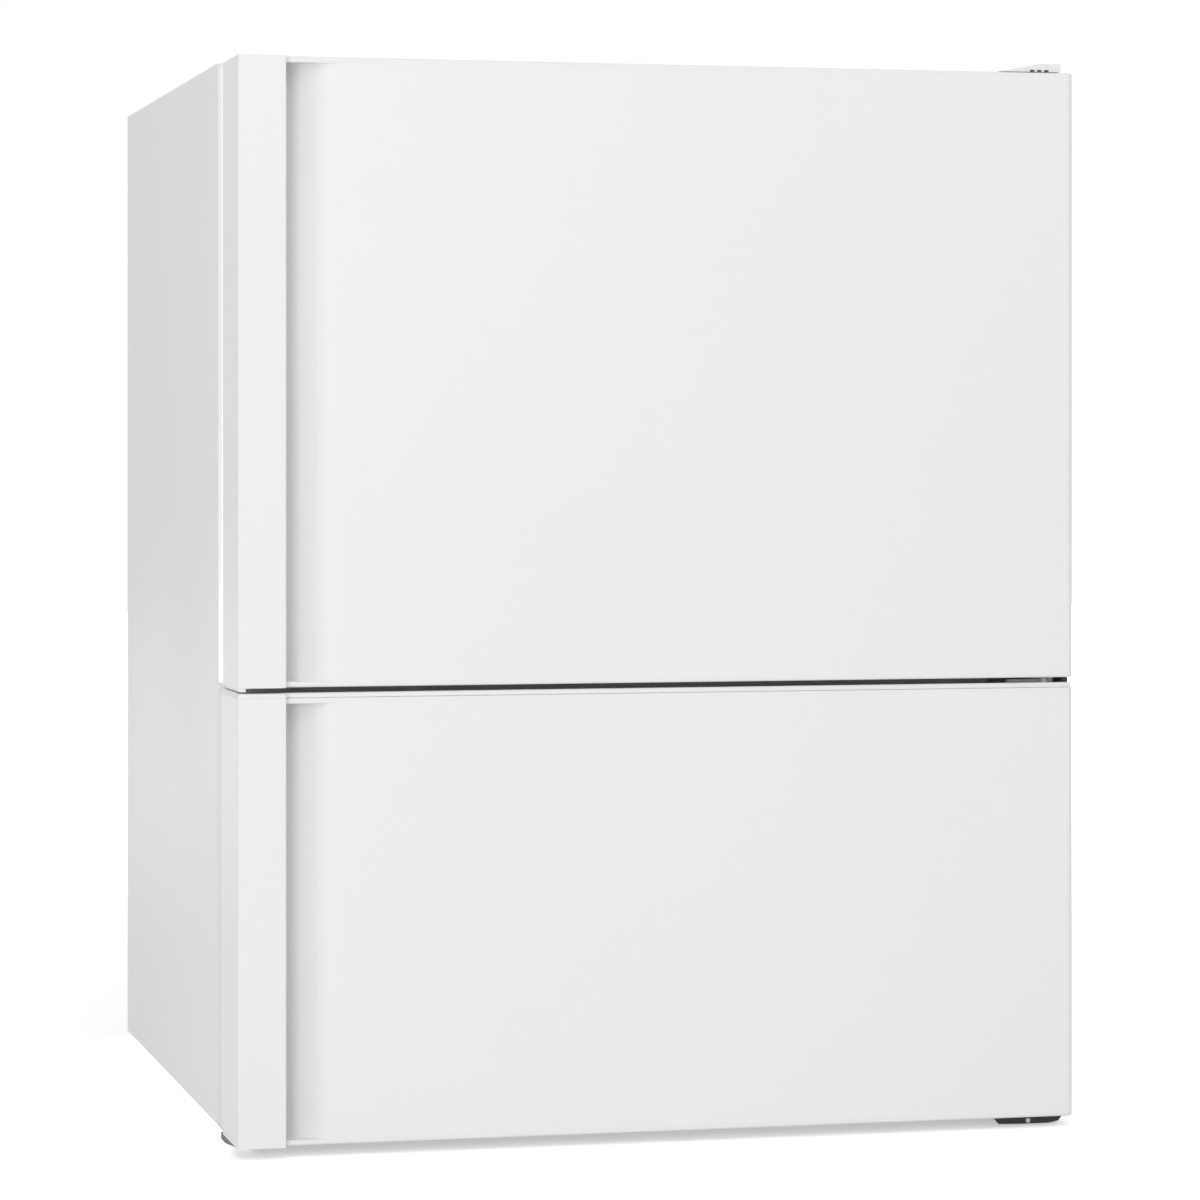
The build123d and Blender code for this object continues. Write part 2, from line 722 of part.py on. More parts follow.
def front_pull(x, y, z, length):
    """A rounded pull lip that stands out along the top of a drawer front."""
    with BuildPart() as lip:
        with BuildSketch(Plane.YZ.offset(x - length / 2)):
            with BuildLine():
                FilletPolyline(
                    (y, z),
                    (y - pull_reach, z),
                    (y - pull_reach, z - pull_height),
                    (y, z - 2 * pull_height),
                    radius=[0, pull_height / 2, pull_height / 2, 0],
                    close=True,
                )
            make_face()
        extrude(amount=length)
    return lip.part


y_crisper = (y_front + crisper_setback, y_cavity_back - crisper_rear_gap)
z_crisper = (z_fridge_inner_floor + crisper_runner + running_gap, shelf_levels[0] - crisper_headroom)
for name, side in (("left_crisper", -1), ("right_crisper", 1)):
    x_crisper = sorted([side * crisper_split / 2, side * (fridge_inner - crisper_side_gap)])
    body = tub(x_crisper, (y_crisper[0] + crisper_wall, y_crisper[1]), z_crisper,
               crisper_corner, crisper_wall, crisper_draft)
    pull = front_pull(sum(x_crisper) / 2, y_crisper[0], z_crisper[1], crisper_pull_length)
    with BuildPart() as crisper:
        add(body)
        with BuildSketch(facing_back(sum(x_crisper) / 2, y_crisper[0], sum(z_crisper) / 2)):
            RectangleRounded(x_crisper[1] - x_crisper[0], z_crisper[1] - z_crisper[0], crisper_wall * 2)
        extrude(amount=crisper_front_wall)
        add(pull)
    crisper.part.label = name
    export_step(crisper.part, f"parts/{name}.step")

drawer_names = ("freezer_drawer_bottom", "freezer_drawer_middle", "freezer_drawer_top")
for name, floor, back in zip(drawer_names, drawer_floors, drawer_backs):
    mouth = floor + drawer_height
    x_body = freezer_inner - drawer_side_gap
    x_rim = freezer_inner - drawer_foot / 2
    body = tub((-x_body, x_body), (y_drawer + drawer_wall, back), (floor, mouth),
               drawer_corner, drawer_wall, drawer_draft)
    pull = front_pull(0, y_drawer, mouth, drawer_pull_length)
    with BuildPart() as drawer:
        add(body)
        for side in (-1, 1):
            rim = sorted([side * (x_body - drawer_wall / 2), side * x_rim])
            block(rim, (y_drawer + drawer_front_wall, back - drawer_corner), (mouth - drawer_rim, mouth))
        with BuildSketch(facing_back(0, y_drawer, (floor + mouth) / 2)):
            RectangleRounded(2 * x_rim, drawer_height, drawer_rim)
            with Locations((0, -drawer_window_drop)):
                SlotOverall(drawer_window_length, drawer_window_height, mode=Mode.SUBTRACT)
        extrude(amount=drawer_front_wall)
        add(pull)
    drawer.part.label = name
    export_step(drawer.part, f"parts/{name}.step")

# Glass shelves lie on the liner's ribs, each with a moulded front edge
shelf_half = fridge_inner - shelf_fit
shelf_names = ("crisper_shelf_glass", "lower_shelf_glass", "upper_shelf_glass")
for name, level in zip(shelf_names, shelf_levels):
    with BuildPart() as shelf:
        with BuildSketch(Plane.XY.offset(level)):
            with Locations((0, (y_shelf[0] + y_shelf[1]) / 2)):
                RectangleRounded(2 * shelf_half, y_shelf[1] - y_shelf[0], shelf_glass)
        extrude(amount=shelf_glass)
    shelf.part.label = name
    export_step(shelf.part, f"parts/{name}.step")

with BuildPart() as shelf_trims:
    for level in shelf_levels:
        low = level - (shelf_trim_height - shelf_glass) / 2
        with BuildSketch(Plane.YZ.offset(-shelf_half)):
            with Locations((y_shelf[0] + shelf_glass - shelf_trim_depth / 2, low + shelf_trim_height / 2)):
                RectangleRounded(shelf_trim_depth, shelf_trim_height, shelf_glass / 2)
            with Locations((y_shelf[0] + shelf_trim_depth, level + shelf_glass / 2)):
                Rectangle(2 * shelf_trim_depth, shelf_glass, mode=Mode.SUBTRACT)
        extrude(amount=2 * shelf_half)
shelf_trims.part.label = "shelf_trims"
export_step(shelf_trims.part, "parts/shelf_trims.step")

# Air duct on the fridge's back wall, with outlets above each shelf
y_duct = y_cavity_back - liner_wall - duct_depth
z_duct = (shelf_levels[0] + 2 * shelf_trim_height, z_fridge_top - 2 * fridge_corner)
with BuildPart() as air_duct_cover:
    with BuildSketch(facing_front(0, y_cavity_back - liner_wall, sum(z_duct) / 2)):
        RectangleRounded(duct_width, z_duct[1] - z_duct[0], fridge_corner)
    extrude(amount=duct_depth, taper=duct_draft)
    with BuildSketch(facing_front(0, y_cavity_back - liner_wall, sum(z_duct) / 2)):
        RectangleRounded(duct_width - 4 * liner_wall, z_duct[1] - z_duct[0] - 4 * liner_wall, fridge_corner)
    extrude(amount=duct_depth - liner_wall, taper=duct_draft, mode=Mode.SUBTRACT)
    with BuildSketch(facing_front(0, y_duct, sum(z_duct) / 2)):
        with GridLocations(duct_slot_spread, (z_duct[1] - z_duct[0]) / duct_slot_rows, 2, duct_slot_rows):
            SlotOverall(duct_slot_length, duct_slot_height)
    extrude(amount=2 * liner_wall, both=True, mode=Mode.SUBTRACT)
air_duct_cover.part.label = "air_duct_cover"
export_step(air_duct_cover.part, "parts/air_duct_cover.step")

# Lamp housing under the fridge's ceiling, with the thermostat knob on its front
z_lamp = (z_fridge_top - liner_wall - lamp_height, z_fridge_top - liner_wall)
y_lamp = (y_front + lamp_setback, y_front + lamp_setback + lamp_depth)
x_knob = lamp_width / 2 - 2 * knob_radius
z_knob = (z_lamp[0] + z_lamp[1]) / 2
lens_size = (lamp_width - 2 * lens_margin, lamp_depth - lens_margin)
with BuildPart() as lamp_housing:
    block((-lamp_width / 2, lamp_width / 2), y_lamp, z_lamp)
    fillet(lamp_housing.edges().filter_by(Axis.Z), lamp_corner)
    fillet(lamp_housing.edges().group_by(Axis.Z)[0], lamp_edge)
    with BuildSketch(Plane(origin=(0, sum(y_lamp) / 2, z_lamp[0]))):
        RectangleRounded(lens_size[0] + running_gap, lens_size[1] + running_gap, lens_corner)
    extrude(amount=liner_wall, mode=Mode.SUBTRACT)
    with BuildSketch(facing_back(x_knob, y_lamp[0], z_knob)):
        Circle(knob_stem_radius + shaft_clearance)
    extrude(amount=knob_height, mode=Mode.SUBTRACT)
lamp_housing.part.label = "lamp_housing"
export_step(lamp_housing.part, "parts/lamp_housing.step")

with BuildPart() as lamp_lens:
    with BuildSketch(Plane(origin=(0, sum(y_lamp) / 2, z_lamp[0] + liner_wall), z_dir=(0, 0, -1))):
        RectangleRounded(lens_size[0], lens_size[1], lens_corner)
    extrude(amount=2 * liner_wall)
    fillet(lamp_lens.edges().group_by(Axis.Z)[0], liner_wall / 2)
lamp_lens.part.label = "lamp_lens"
export_step(lamp_lens.part, "parts/lamp_lens.step")

with BuildPart() as thermostat_knob:
    with BuildSketch(facing_front(x_knob, y_lamp[0] - running_gap, z_knob)):
        Circle(knob_radius)
    extrude(amount=knob_height / 2)
    with BuildSketch(facing_front(x_knob, y_lamp[0] - running_gap - knob_height / 2, z_knob)):
        SlotOverall(2 * knob_radius - sheet, knob_grip)
    extrude(amount=knob_height / 2)
    with BuildSketch(facing_back(x_knob, y_lamp[0] - running_gap, z_knob)):
        Circle(knob_stem_radius)
    extrude(amount=knob_height - sheet)
thermostat_knob.part.label = "thermostat_knob"
export_step(thermostat_knob.part, "parts/thermostat_knob.step")

# Evaporator, its cover and the fan that draws air through them
z_fan = z_freezer_top - liner_wall - fan_ring - liner_wall
z_cover = (z_step_floor + running_gap, z_freezer_top - liner_wall - running_gap)
cover_half = freezer_inner - running_gap
with BuildPart() as evaporator_cover:
    with BuildSketch(facing_back(0, y_cover, sum(z_cover) / 2)):
        RectangleRounded(2 * cover_half, z_cover[1] - z_cover[0], freezer_corner - liner_wall)
        with Locations((0, z_fan - sum(z_cover) / 2)):
            with PolarLocations(fan_slot_circle, fan_slots):
                SlotOverall(fan_slot_length, grille_slot, mode=Mode.SUBTRACT)
        with Locations((0, -(z_cover[1] - z_cover[0]) / 2 + return_slot_height)):
            with GridLocations(grille_pitch, 1, return_slots, 1):
                SlotOverall(return_slot_height, grille_slot, rotation=90, mode=Mode.SUBTRACT)
    extrude(amount=cover_sheet)
evaporator_cover.part.label = "evaporator_cover"
export_step(evaporator_cover.part, "parts/evaporator_cover.step")


def serpentine(x, y, z, run, rows, pitch, radius):
    """A tube bent back and forth in one upright plane; x is its middle and z its lowest row."""
    bend = pitch / 2 - bend_flat / 2
    ends = [(x - run / 2, x + run / 2), (x + run / 2, x - run / 2)]
    points = [(end, y, z + row * pitch) for row in range(rows) for end in ends[row % 2]]
    with BuildPart() as tube:
        with BuildLine() as path:
            FilletPolyline(*points, radius=bend)
        with BuildSketch(Plane(origin=points[0], z_dir=(1, 0, 0))):
            Circle(radius)
        sweep(path=path.wire())
    return tube.part


y_coil = (y_cover + cover_sheet + y_cavity_back - liner_wall) / 2
z_coil = z_cover[0] + (fin_height - (coil_rows - 1) * coil_pitch) / 2
coil = serpentine(0, y_coil, z_coil, fin_count * fin_pitch, coil_rows, coil_pitch, coil_tube_radius)
with BuildPart() as evaporator:
    add(coil)
    with Locations((0, y_coil, z_cover[0] + fin_height / 2)):
        with GridLocations(fin_pitch, 1, fin_count - 1, 1):
            Box(fin_thickness, fin_depth, fin_height)
evaporator.part.label = "evaporator"
export_step(evaporator.part, "parts/evaporator.step")

y_fan = y_cover + cover_sheet + 2 * liner_wall + fan_length / 2
fan_axis = Axis((0, y_fan, z_fan), (0, 1, 0))
with BuildPart() as fan_motor:
    with BuildSketch(facing_back(0, y_cover + cover_sheet, z_fan)):
        Circle(fan_ring + liner_wall)
        Circle(fan_ring, mode=Mode.SUBTRACT)
    extrude(amount=fan_length + motor_length)
    with BuildSketch(facing_back(0, y_fan + fan_length, z_fan)):
        Circle(motor_radius)
        with PolarLocations((fan_ring + motor_radius) / 2, motor_struts, start_angle=90):
            Rectangle(fan_ring - motor_radius + 2 * liner_wall, 2 * liner_wall)
    extrude(amount=2 * liner_wall)
    with BuildSketch(facing_back(0, y_fan + fan_length, z_fan)):
        Circle(motor_radius)
    extrude(amount=motor_length)
    with BuildSketch(facing_front(0, y_fan + fan_length, z_fan)):
        Circle(fan_shaft_radius)
    extrude(amount=fan_length)
fan_motor.part.label = "fan_motor"
export_step(fan_motor.part, "parts/fan_motor.step")


def blade_plane(radius, pitch):
    """A plane across a fan blade at a distance from the axis, turned to the blade's pitch."""
    return Plane(origin=(radius, y_fan, z_fan), x_dir=(0, 1, 0), z_dir=(1, 0, 0)).rotated((0, 0, pitch))


with BuildPart() as fan_blade:
    with BuildSketch(blade_plane(fan_hub_radius - sheet, fan_pitch_root)):
        Rectangle(fan_length, fan_blade_thickness)
    with BuildSketch(blade_plane(fan_radius, fan_pitch_tip)):
        Rectangle(fan_tip_chord, fan_blade_thickness)
    loft(ruled=True)

with BuildPart() as fan_impeller:
    with BuildSketch(facing_back(0, y_fan - fan_length / 2, z_fan)):
        Circle(fan_hub_radius)
    extrude(amount=fan_length)
    for blade in range(fan_blades):
        add(fan_blade.part.rotate(fan_axis, blade * 360 / fan_blades))
    with BuildSketch(facing_back(0, y_fan - fan_length / 2 + sheet, z_fan)):
        Circle(fan_shaft_radius + shaft_clearance)
    extrude(amount=fan_length, mode=Mode.SUBTRACT)
fan_impeller.part.label = "fan_impeller"
export_step(fan_impeller.part, "parts/fan_impeller.step")

# Compressor on rubber mounts, with the water tray on its dome
y_compressor = y_bay + bay_depth / 2
z_mount = z_base + tray_sheet
z_foot_plate = z_mount + mount_height
z_shell = z_foot_plate + compressor_foot
z_dome = z_shell + compressor_skirt + compressor_dome
with BuildPart() as compressor:
    with BuildSketch(Plane(origin=(compressor_x, y_compressor, z_foot_plate))):
        RectangleRounded(compressor_foot_length, compressor_foot_breadth, mount_radius)
    extrude(amount=compressor_foot)
    with BuildSketch(Plane(origin=(compressor_x, y_compressor, z_shell))):
        Ellipse(compressor_length / 2, compressor_breadth / 2)
    extrude(amount=compressor_skirt + compressor_dome)
    fillet(compressor.edges().group_by(Axis.Z)[-1], compressor_rounding)
    with BuildSketch(Plane(origin=(compressor_x, y_compressor, z_shell + compressor_skirt))):
        Ellipse(compressor_length / 2 + compressor_seam, compressor_breadth / 2 + compressor_seam)
    extrude(amount=compressor_seam)
compressor.part.label = "compressor"
export_step(compressor.part, "parts/compressor.step")

with BuildPart() as grommet:
    with BuildSketch(Plane.XZ):
        with BuildLine():
            Polyline(
                (0, 0),
                (mount_radius, 0),
                (mount_radius, mount_height / 3),
                (mount_radius - mount_waist, mount_height / 2),
                (mount_radius, 2 * mount_height / 3),
                (mount_radius, mount_height),
                (0, mount_height),
                close=True,
            )
        make_face()
    revolve(axis=Axis.Z)

mount_pitch_x = compressor_foot_length - 2 * mount_radius
mount_pitch_y = compressor_foot_breadth - 2 * mount_radius
with BuildPart() as compressor_mounts:
    with Locations((compressor_x, y_compressor, z_mount)):
        with GridLocations(mount_pitch_x, mount_pitch_y, 2, 2):
            add(grommet.part)
compressor_mounts.part.label = "compressor_mounts"
export_step(compressor_mounts.part, "parts/compressor_mounts.step")

y_terminal = y_compressor + compressor_breadth / 2
with BuildPart() as compressor_terminal_box:
    with BuildSketch(Plane(origin=(compressor_x, y_terminal + running_gap, z_shell + compressor_seam))):
        with Locations((0, terminal_depth / 2)):
            RectangleRounded(terminal_length, terminal_depth, compressor_seam)
    extrude(amount=compressor_skirt - 2 * compressor_seam)
compressor_terminal_box.part.label = "compressor_terminal_box"
export_step(compressor_terminal_box.part, "parts/compressor_terminal_box.step")

tray_x = (compressor_x - drain_tray_length / 2, compressor_x + drain_tray_length / 2)
tray_y = (y_compressor - drain_tray_breadth / 2, y_compressor + drain_tray_breadth / 2)
drain_z = (z_dome, z_dome + drain_tray_height)
drain_body = tub(tray_x, tray_y, drain_z, mount_radius, drain_tray_wall, crisper_draft)
with BuildPart() as drain_water_tray:
    add(drain_body)
drain_water_tray.part.label = "drain_water_tray"
export_step(drain_water_tray.part, "parts/drain_water_tray.step")

# Condenser: a serpentine tube held by upright plates that stand on the base tray
y_condenser = y_compressor + condenser_plate_depth
z_condenser = z_mount + condenser_plate_margin + 2 * condenser_tube_radius
condenser_tube = serpentine(condenser_x, y_condenser, z_condenser, condenser_run, condenser_rows,
                            condenser_pitch, condenser_tube_radius)
condenser_top = z_condenser + (condenser_rows - 1) * condenser_pitch
with BuildPart() as condenser:
    add(condenser_tube)
    for spot in (-1, 0, 1):
        with Locations((condenser_x + spot * condenser_plate_pitch, y_condenser, z_mount)):
            Box(condenser_plate, condenser_plate_depth, condenser_top + condenser_plate_margin - z_mount,
                align=(Align.CENTER, Align.CENTER, Align.MIN))
condenser.part.label = "condenser"
export_step(condenser.part, "parts/condenser.step")

x_run = (condenser_x - condenser_run / 2, condenser_x + condenser_run / 2)
x_dryer = x_run[0] - 2 * dryer_radius
y_dryer = y_condenser + condenser_plate_depth
z_dryer = (z_condenser + condenser_pitch, z_condenser + condenser_pitch + dryer_length)
neck = pipe_radius * 2
with BuildPart() as filter_dryer:
    with BuildSketch(Plane.XZ.offset(-y_dryer)):
        with BuildLine():
            Polyline(
                (x_dryer, z_dryer[0]),
                (x_dryer + neck, z_dryer[0]),
                (x_dryer + dryer_radius, z_dryer[0] + dryer_radius),
                (x_dryer + dryer_radius, z_dryer[1] - dryer_radius),
                (x_dryer + neck, z_dryer[1]),
                (x_dryer, z_dryer[1]),
                close=True,
            )
        make_face()
    revolve(axis=Axis((x_dryer, y_dryer, 0), (0, 0, 1)))
filter_dryer.part.label = "filter_dryer"
export_step(filter_dryer.part, "parts/filter_dryer.step")


def pipe(points, bend):
    """A round pipe along straight runs joined by bends of one radius."""
    with BuildPart() as tube:
        with BuildLine() as path:
            FilletPolyline(*points, radius=bend)
        with BuildSketch(Plane(origin=points[0], z_dir=Vector(*points[1]) - Vector(*points[0]))):
            Circle(pipe_radius)
        sweep(path=path.wire())
    return tube.part


z_port = z_shell + compressor_skirt + compressor_seam + 4 * pipe_radius
x_left_port = compressor_x - compressor_length / 2
x_right_port = compressor_x + compressor_length / 2
x_discharge = (x_run[1] + x_left_port) / 2
discharge = pipe(
    [(x_run[1], y_condenser, condenser_top), (x_discharge, y_condenser, condenser_top),
     (x_discharge, y_compressor, z_port), (x_left_port, y_compressor, z_port)],
    pipe_bend,
)
liquid = pipe(
    [(x_run[0], y_condenser, z_condenser), (x_dryer, y_condenser, z_condenser),
     (x_dryer, y_dryer, z_condenser), (x_dryer, y_dryer, z_dryer[0])],
    dryer_bend,
)
suction = pipe(
    [(x_right_port, y_compressor, z_port), (x_right_port + 3 * pipe_bend, y_compressor, z_port),
     (x_right_port + 3 * pipe_bend, y_compressor, z_bay)],
    pipe_bend,
)
with BuildPart() as refrigerant_pipes:
    add([discharge, liquid, suction])
    with Locations((x_dryer, y_dryer, z_dryer[1])):
        Cylinder(pipe_radius, z_bay - z_dryer[1], align=(Align.CENTER, Align.CENTER, Align.MIN))
refrigerant_pipes.part.label = "refrigerant_pipes"
export_step(refrigerant_pipes.part, "parts/refrigerant_pipes.step")

# Doors: steel skin, foam core, formed liner, gasket, moulded end caps and the grip strip
x_strip_right = -half_width + strip_width
x_scoop = x_strip_right + scoop_width
x_skin_left = -half_width + strip_wall
x_post = x_skin_left + post_width
y_plate_back = y_strip + strip_wall
y_pocket = y_panel + pocket_depth
liner_half = half_width - liner_wall


def door_outline(z, inset=0.0):
    """Plan outline of a door body with the grip pocket let in beside its left edge."""
    with BuildSketch(Plane.XY.offset(z)) as outline:
        with BuildLine():
            FilletPolyline(
                (half_width, y_skin_back),
                (half_width, y_panel),
                (x_scoop, y_panel),
                (x_scoop - scoop_slope_run, y_pocket),
                (x_post, y_pocket),
                (x_post, y_plate_back),
                (x_skin_left, y_plate_back),
                (x_skin_left, y_skin_back),
                radius=[0, door_edge_radius, scoop_radius, scoop_radius, pocket_radius, 0, 0, 0],
                close=True,
            )
        make_face()
        if inset:
            offset(amount=-inset, kind=Kind.INTERSECTION)
    return outline.sketch


def raised_form(x, z, size, reach, corner, inset, lift):
    """A drafted block on the door's inner face; inset and lift make the foam block inside it."""
    with BuildPart() as form:
        with BuildSketch(facing_back(x, y_door_back - liner_wall, z)):
            RectangleRounded(size[0] - 2 * inset, size[1] - 2 * inset, corner - inset)
        extrude(amount=reach + liner_wall - inset, taper=dyke_draft)
        if lift:
            block((x - size[0], x + size[0]), (y_skin_back, y_door_back - liner_wall + lift),
                  (z - size[1], z + size[1]), mode=Mode.SUBTRACT)
    return form.part


def door_forms(name, inset=0.0, lift=0.0):
    """The raised forms of a door's inner face."""
    if name == "upper":
        size = (dyke_width, z_fridge_top - z_fridge_floor - 2 * dyke_end)
        dyke_x = half_width - dyke_side - dyke_width / 2
        z_middle = (z_fridge_top + z_fridge_floor) / 2
        spots = (-dyke_x, dyke_x)
        return [raised_form(x, z_middle, size, dyke_reach, dyke_corner, inset, lift) for x in spots]
    z_middle = (z_freezer_top + z_freezer_floor) / 2
    size = (2 * freezer_inner - frame_width, z_freezer_top - z_freezer_floor - frame_width)
    return [raised_form(0, z_middle, size, frame_reach, frame_corner, inset, lift)]


def door_cap(z_end, up, bush_height):
    """An end cap with the bush that takes a hinge pin; up is 1 for a top cap and -1 for a bottom one."""
    x_cover = x_strip_right - strip_corner
    with BuildPart() as cap:
        with BuildSketch(Plane.XY.offset(z_end if up < 0 else z_end - cap_height)):
            with BuildLine():
                FilletPolyline(
                    (half_width, y_skin_back),
                    (half_width, y_panel),
                    (x_cover, y_panel),
                    (x_cover, y_plate_back),
                    (x_skin_left, y_plate_back),
                    (x_skin_left, y_skin_back),
                    radius=[0, door_edge_radius, 0, 0, 0, 0],
                    close=True,
                )
            make_face()
        extrude(amount=cap_height)
        rim = cap.faces().filter_by(Axis.Z).sort_by(Axis.Z)[-1 if up > 0 else 0]
        shown = rim.edges().filter_by(lambda e: e.center().X > x_strip_right)
        fillet(shown.filter_by(lambda e: e.center().Y < y_skin_back - sheet), cap_rounding)
        with Locations((x_pin, y_pin, z_end)):
            Cylinder(boss_radius, pin_hole_reach + boss_floor,
                     align=(Align.CENTER, Align.CENTER, Align.MAX if up > 0 else Align.MIN))
            Cylinder(bush_radius, bush_height,
                     align=(Align.CENTER, Align.CENTER, Align.MIN if up > 0 else Align.MAX))
            Cylinder(pin_radius + shaft_clearance, 2 * pin_hole_reach, mode=Mode.SUBTRACT)
    return cap.part


def ring_gasket(z_low, z_high):
    """A magnetic gasket: a foot on the door, a narrow bellows and the magnet bar."""
    half = half_width - gasket_side_inset
    height = z_high - z_low
    depth = y_front - running_gap - y_door_back
    foot_depth = depth / 3
    with BuildPart() as gasket:
        for start, thickness, waist in ((0, foot_depth, 0), (foot_depth, foot_depth, gasket_groove),
                                        (2 * foot_depth, foot_depth, 0)):
            with BuildSketch(facing_back(0, y_door_back + start, (z_low + z_high) / 2)):
                RectangleRounded(2 * (half - waist), height - 2 * waist, gasket_corner - waist)
                hollow = gasket_width - waist
                RectangleRounded(2 * (half - hollow), height - 2 * hollow, gasket_corner / 2,
                                 mode=Mode.SUBTRACT)
            extrude(amount=thickness)
    return gasket.part


plate_gap = (door_gap - hinge_plate) / 2
low_bush_gap = z_lower_door - z_bottom_plate - running_gap
gap_bush = plate_gap - running_gap
top_bush_gap = door_top_reveal - running_gap
doors = (
    ("lower", z_lower_door, z_lower_door_top, low_bush_gap, gap_bush,
     z_lower_door + gasket_bottom_inset, z_lower_door_top - gasket_freezer_rail_inset),
    ("upper", z_upper_door, z_upper_door_top, gap_bush, top_bush_gap,
     z_upper_door + gasket_fridge_rail_inset, z_upper_door_top - gasket_top_inset),
)
for name, z_low, z_high, low_bush, high_bush, gasket_low, gasket_high in doors:
    z_skin = (z_low + cap_height, z_high - cap_height)
    skin_height = z_skin[1] - z_skin[0]
    outer = door_outline(z_skin[0])
    inner = door_outline(z_skin[0], sheet)
    forms = door_forms(name)
    hollows = door_forms(name, liner_wall)
    # Foam blocks are pushed into the liner's raised forms before the door is foamed
    blocks = door_forms(name, liner_wall, running_gap)
    x_back = (x_skin_left + sheet, inner_half)
    y_back = (y_skin_back - 2 * sheet, y_skin_back)
    with BuildPart() as door_panel:
        extrude(outer, amount=skin_height)
        extrude(inner, amount=skin_height, mode=Mode.SUBTRACT)
        block(x_back, y_back, z_skin, mode=Mode.SUBTRACT)
    door_panel.part.label = f"{name}_door_panel"
    export_step(door_panel.part, f"parts/{name}_door_panel.step")

    with BuildPart() as door_insulation:
        extrude(inner, amount=skin_height)
        block(x_back, y_back, z_skin)
        block((-liner_half + liner_wall, liner_half - liner_wall), (y_skin_back, y_door_back - liner_wall),
              (z_low + 2 * liner_wall, z_high - 2 * liner_wall))
        add(blocks)
        for z_end in (z_low, z_high):
            with Locations((x_pin, y_pin, z_end)):
                Cylinder(boss_radius, 2 * (pin_hole_reach + boss_floor), mode=Mode.SUBTRACT)
    door_insulation.part.label = f"{name}_door_insulation"
    export_step(door_insulation.part, f"parts/{name}_door_insulation.step")

    with BuildPart() as door_liner:
        block((-liner_half, liner_half), (y_skin_back, y_door_back),
              (z_low + liner_wall, z_high - liner_wall))
        fillet(door_liner.edges().filter_by(Axis.Y), 2 * liner_wall)
        block((-liner_half + liner_wall, liner_half - liner_wall), (y_skin_back, y_door_back - liner_wall),
              (z_low + 2 * liner_wall, z_high - 2 * liner_wall), mode=Mode.SUBTRACT)
        add(forms)
        add(hollows, mode=Mode.SUBTRACT)
    door_liner.part.label = f"{name}_door_liner"
    export_step(door_liner.part, f"parts/{name}_door_liner.step")

    seal = ring_gasket(gasket_low, gasket_high)
    with BuildPart() as door_gasket:
        add(seal)
    door_gasket.part.label = f"{name}_door_gasket"
    export_step(door_gasket.part, f"parts/{name}_door_gasket.step")

    caps = [door_cap(z_low, -1, low_bush), door_cap(z_high, 1, high_bush)]
    with BuildPart() as door_caps:
        add(caps)
    door_caps.part.label = f"{name}_door_caps"
    export_step(door_caps.part, f"parts/{name}_door_caps.step")

    with BuildPart() as grip_strip:
        with BuildSketch(Plane.XY.offset(z_low)):
            with BuildLine():
                wall_middle = strip_wall / 2
                FilletPolyline(
                    (x_strip_right, y_strip + wall_middle),
                    (-half_width + wall_middle, y_strip + wall_middle),
                    (-half_width + wall_middle, y_skin_back),
                    radius=[strip_wall / 2],
                )
            trace(line_width=strip_wall)
        extrude(amount=z_high - z_low)
        fillet(grip_strip.edges().filter_by(Axis.Z).group_by(Axis.X)[-1], strip_wall / 3)
        # A plug hides the screw that holds the upper strip to its door
        if name == "upper":
            with Locations(Location((-half_width, y_strip + plug_setback, z_low + plug_rise), (0, 90, 0))):
                Cylinder(plug_radius, 2 * plug_recess, mode=Mode.SUBTRACT)
    grip_strip.part.label = f"{name}_grip_strip"
    export_step(grip_strip.part, f"parts/{name}_grip_strip.step")

# Bins hook over lugs between the upper door's two raised sides
bin_half = half_width - dyke_side - dyke_width - bin_end_gap
z_bottle_bin = z_fridge_floor + bottle_bin_level
z_top_bin = z_fridge_top - top_bin_headroom - small_bin_height
z_middle_bin = (z_bottle_bin + bottle_bin_height + z_top_bin - small_bin_height) / 2
bins = (
    ("bottle_bin", z_bottle_bin, bottle_bin_height),
    ("middle_bin", z_middle_bin, small_bin_height),
    ("top_bin", z_top_bin, small_bin_height),
)
for name, floor, height in bins:
    body = tub((-bin_half, bin_half), (y_door_back, y_door_back + bin_depth), (floor, floor + height),
               bin_corner, bin_wall, bin_draft)
    with BuildPart() as door_bin:
        add(body)
        for side in (-1, 1):
            lug = sorted([side * (bin_half - bin_wall), side * (bin_half + bin_lug)])
            block(lug, (y_door_back + bin_corner, y_door_back + dyke_reach - bin_corner),
                  (floor + height - bin_rim, floor + height))
    door_bin.part.label = name
    export_step(door_bin.part, f"parts/{name}.step")
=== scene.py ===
import math

import bmesh
import bpy
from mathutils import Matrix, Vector


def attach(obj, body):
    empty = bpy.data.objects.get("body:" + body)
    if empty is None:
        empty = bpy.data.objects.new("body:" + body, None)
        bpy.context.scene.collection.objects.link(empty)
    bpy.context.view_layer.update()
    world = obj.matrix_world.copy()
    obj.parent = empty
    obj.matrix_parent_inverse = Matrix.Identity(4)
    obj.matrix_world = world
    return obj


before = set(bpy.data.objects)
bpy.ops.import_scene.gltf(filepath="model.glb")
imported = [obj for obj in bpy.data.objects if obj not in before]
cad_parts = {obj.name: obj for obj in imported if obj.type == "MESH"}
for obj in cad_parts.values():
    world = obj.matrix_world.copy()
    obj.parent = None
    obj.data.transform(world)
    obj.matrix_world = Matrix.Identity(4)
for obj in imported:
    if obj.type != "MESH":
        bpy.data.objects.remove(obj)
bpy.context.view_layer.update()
scene = bpy.context.scene

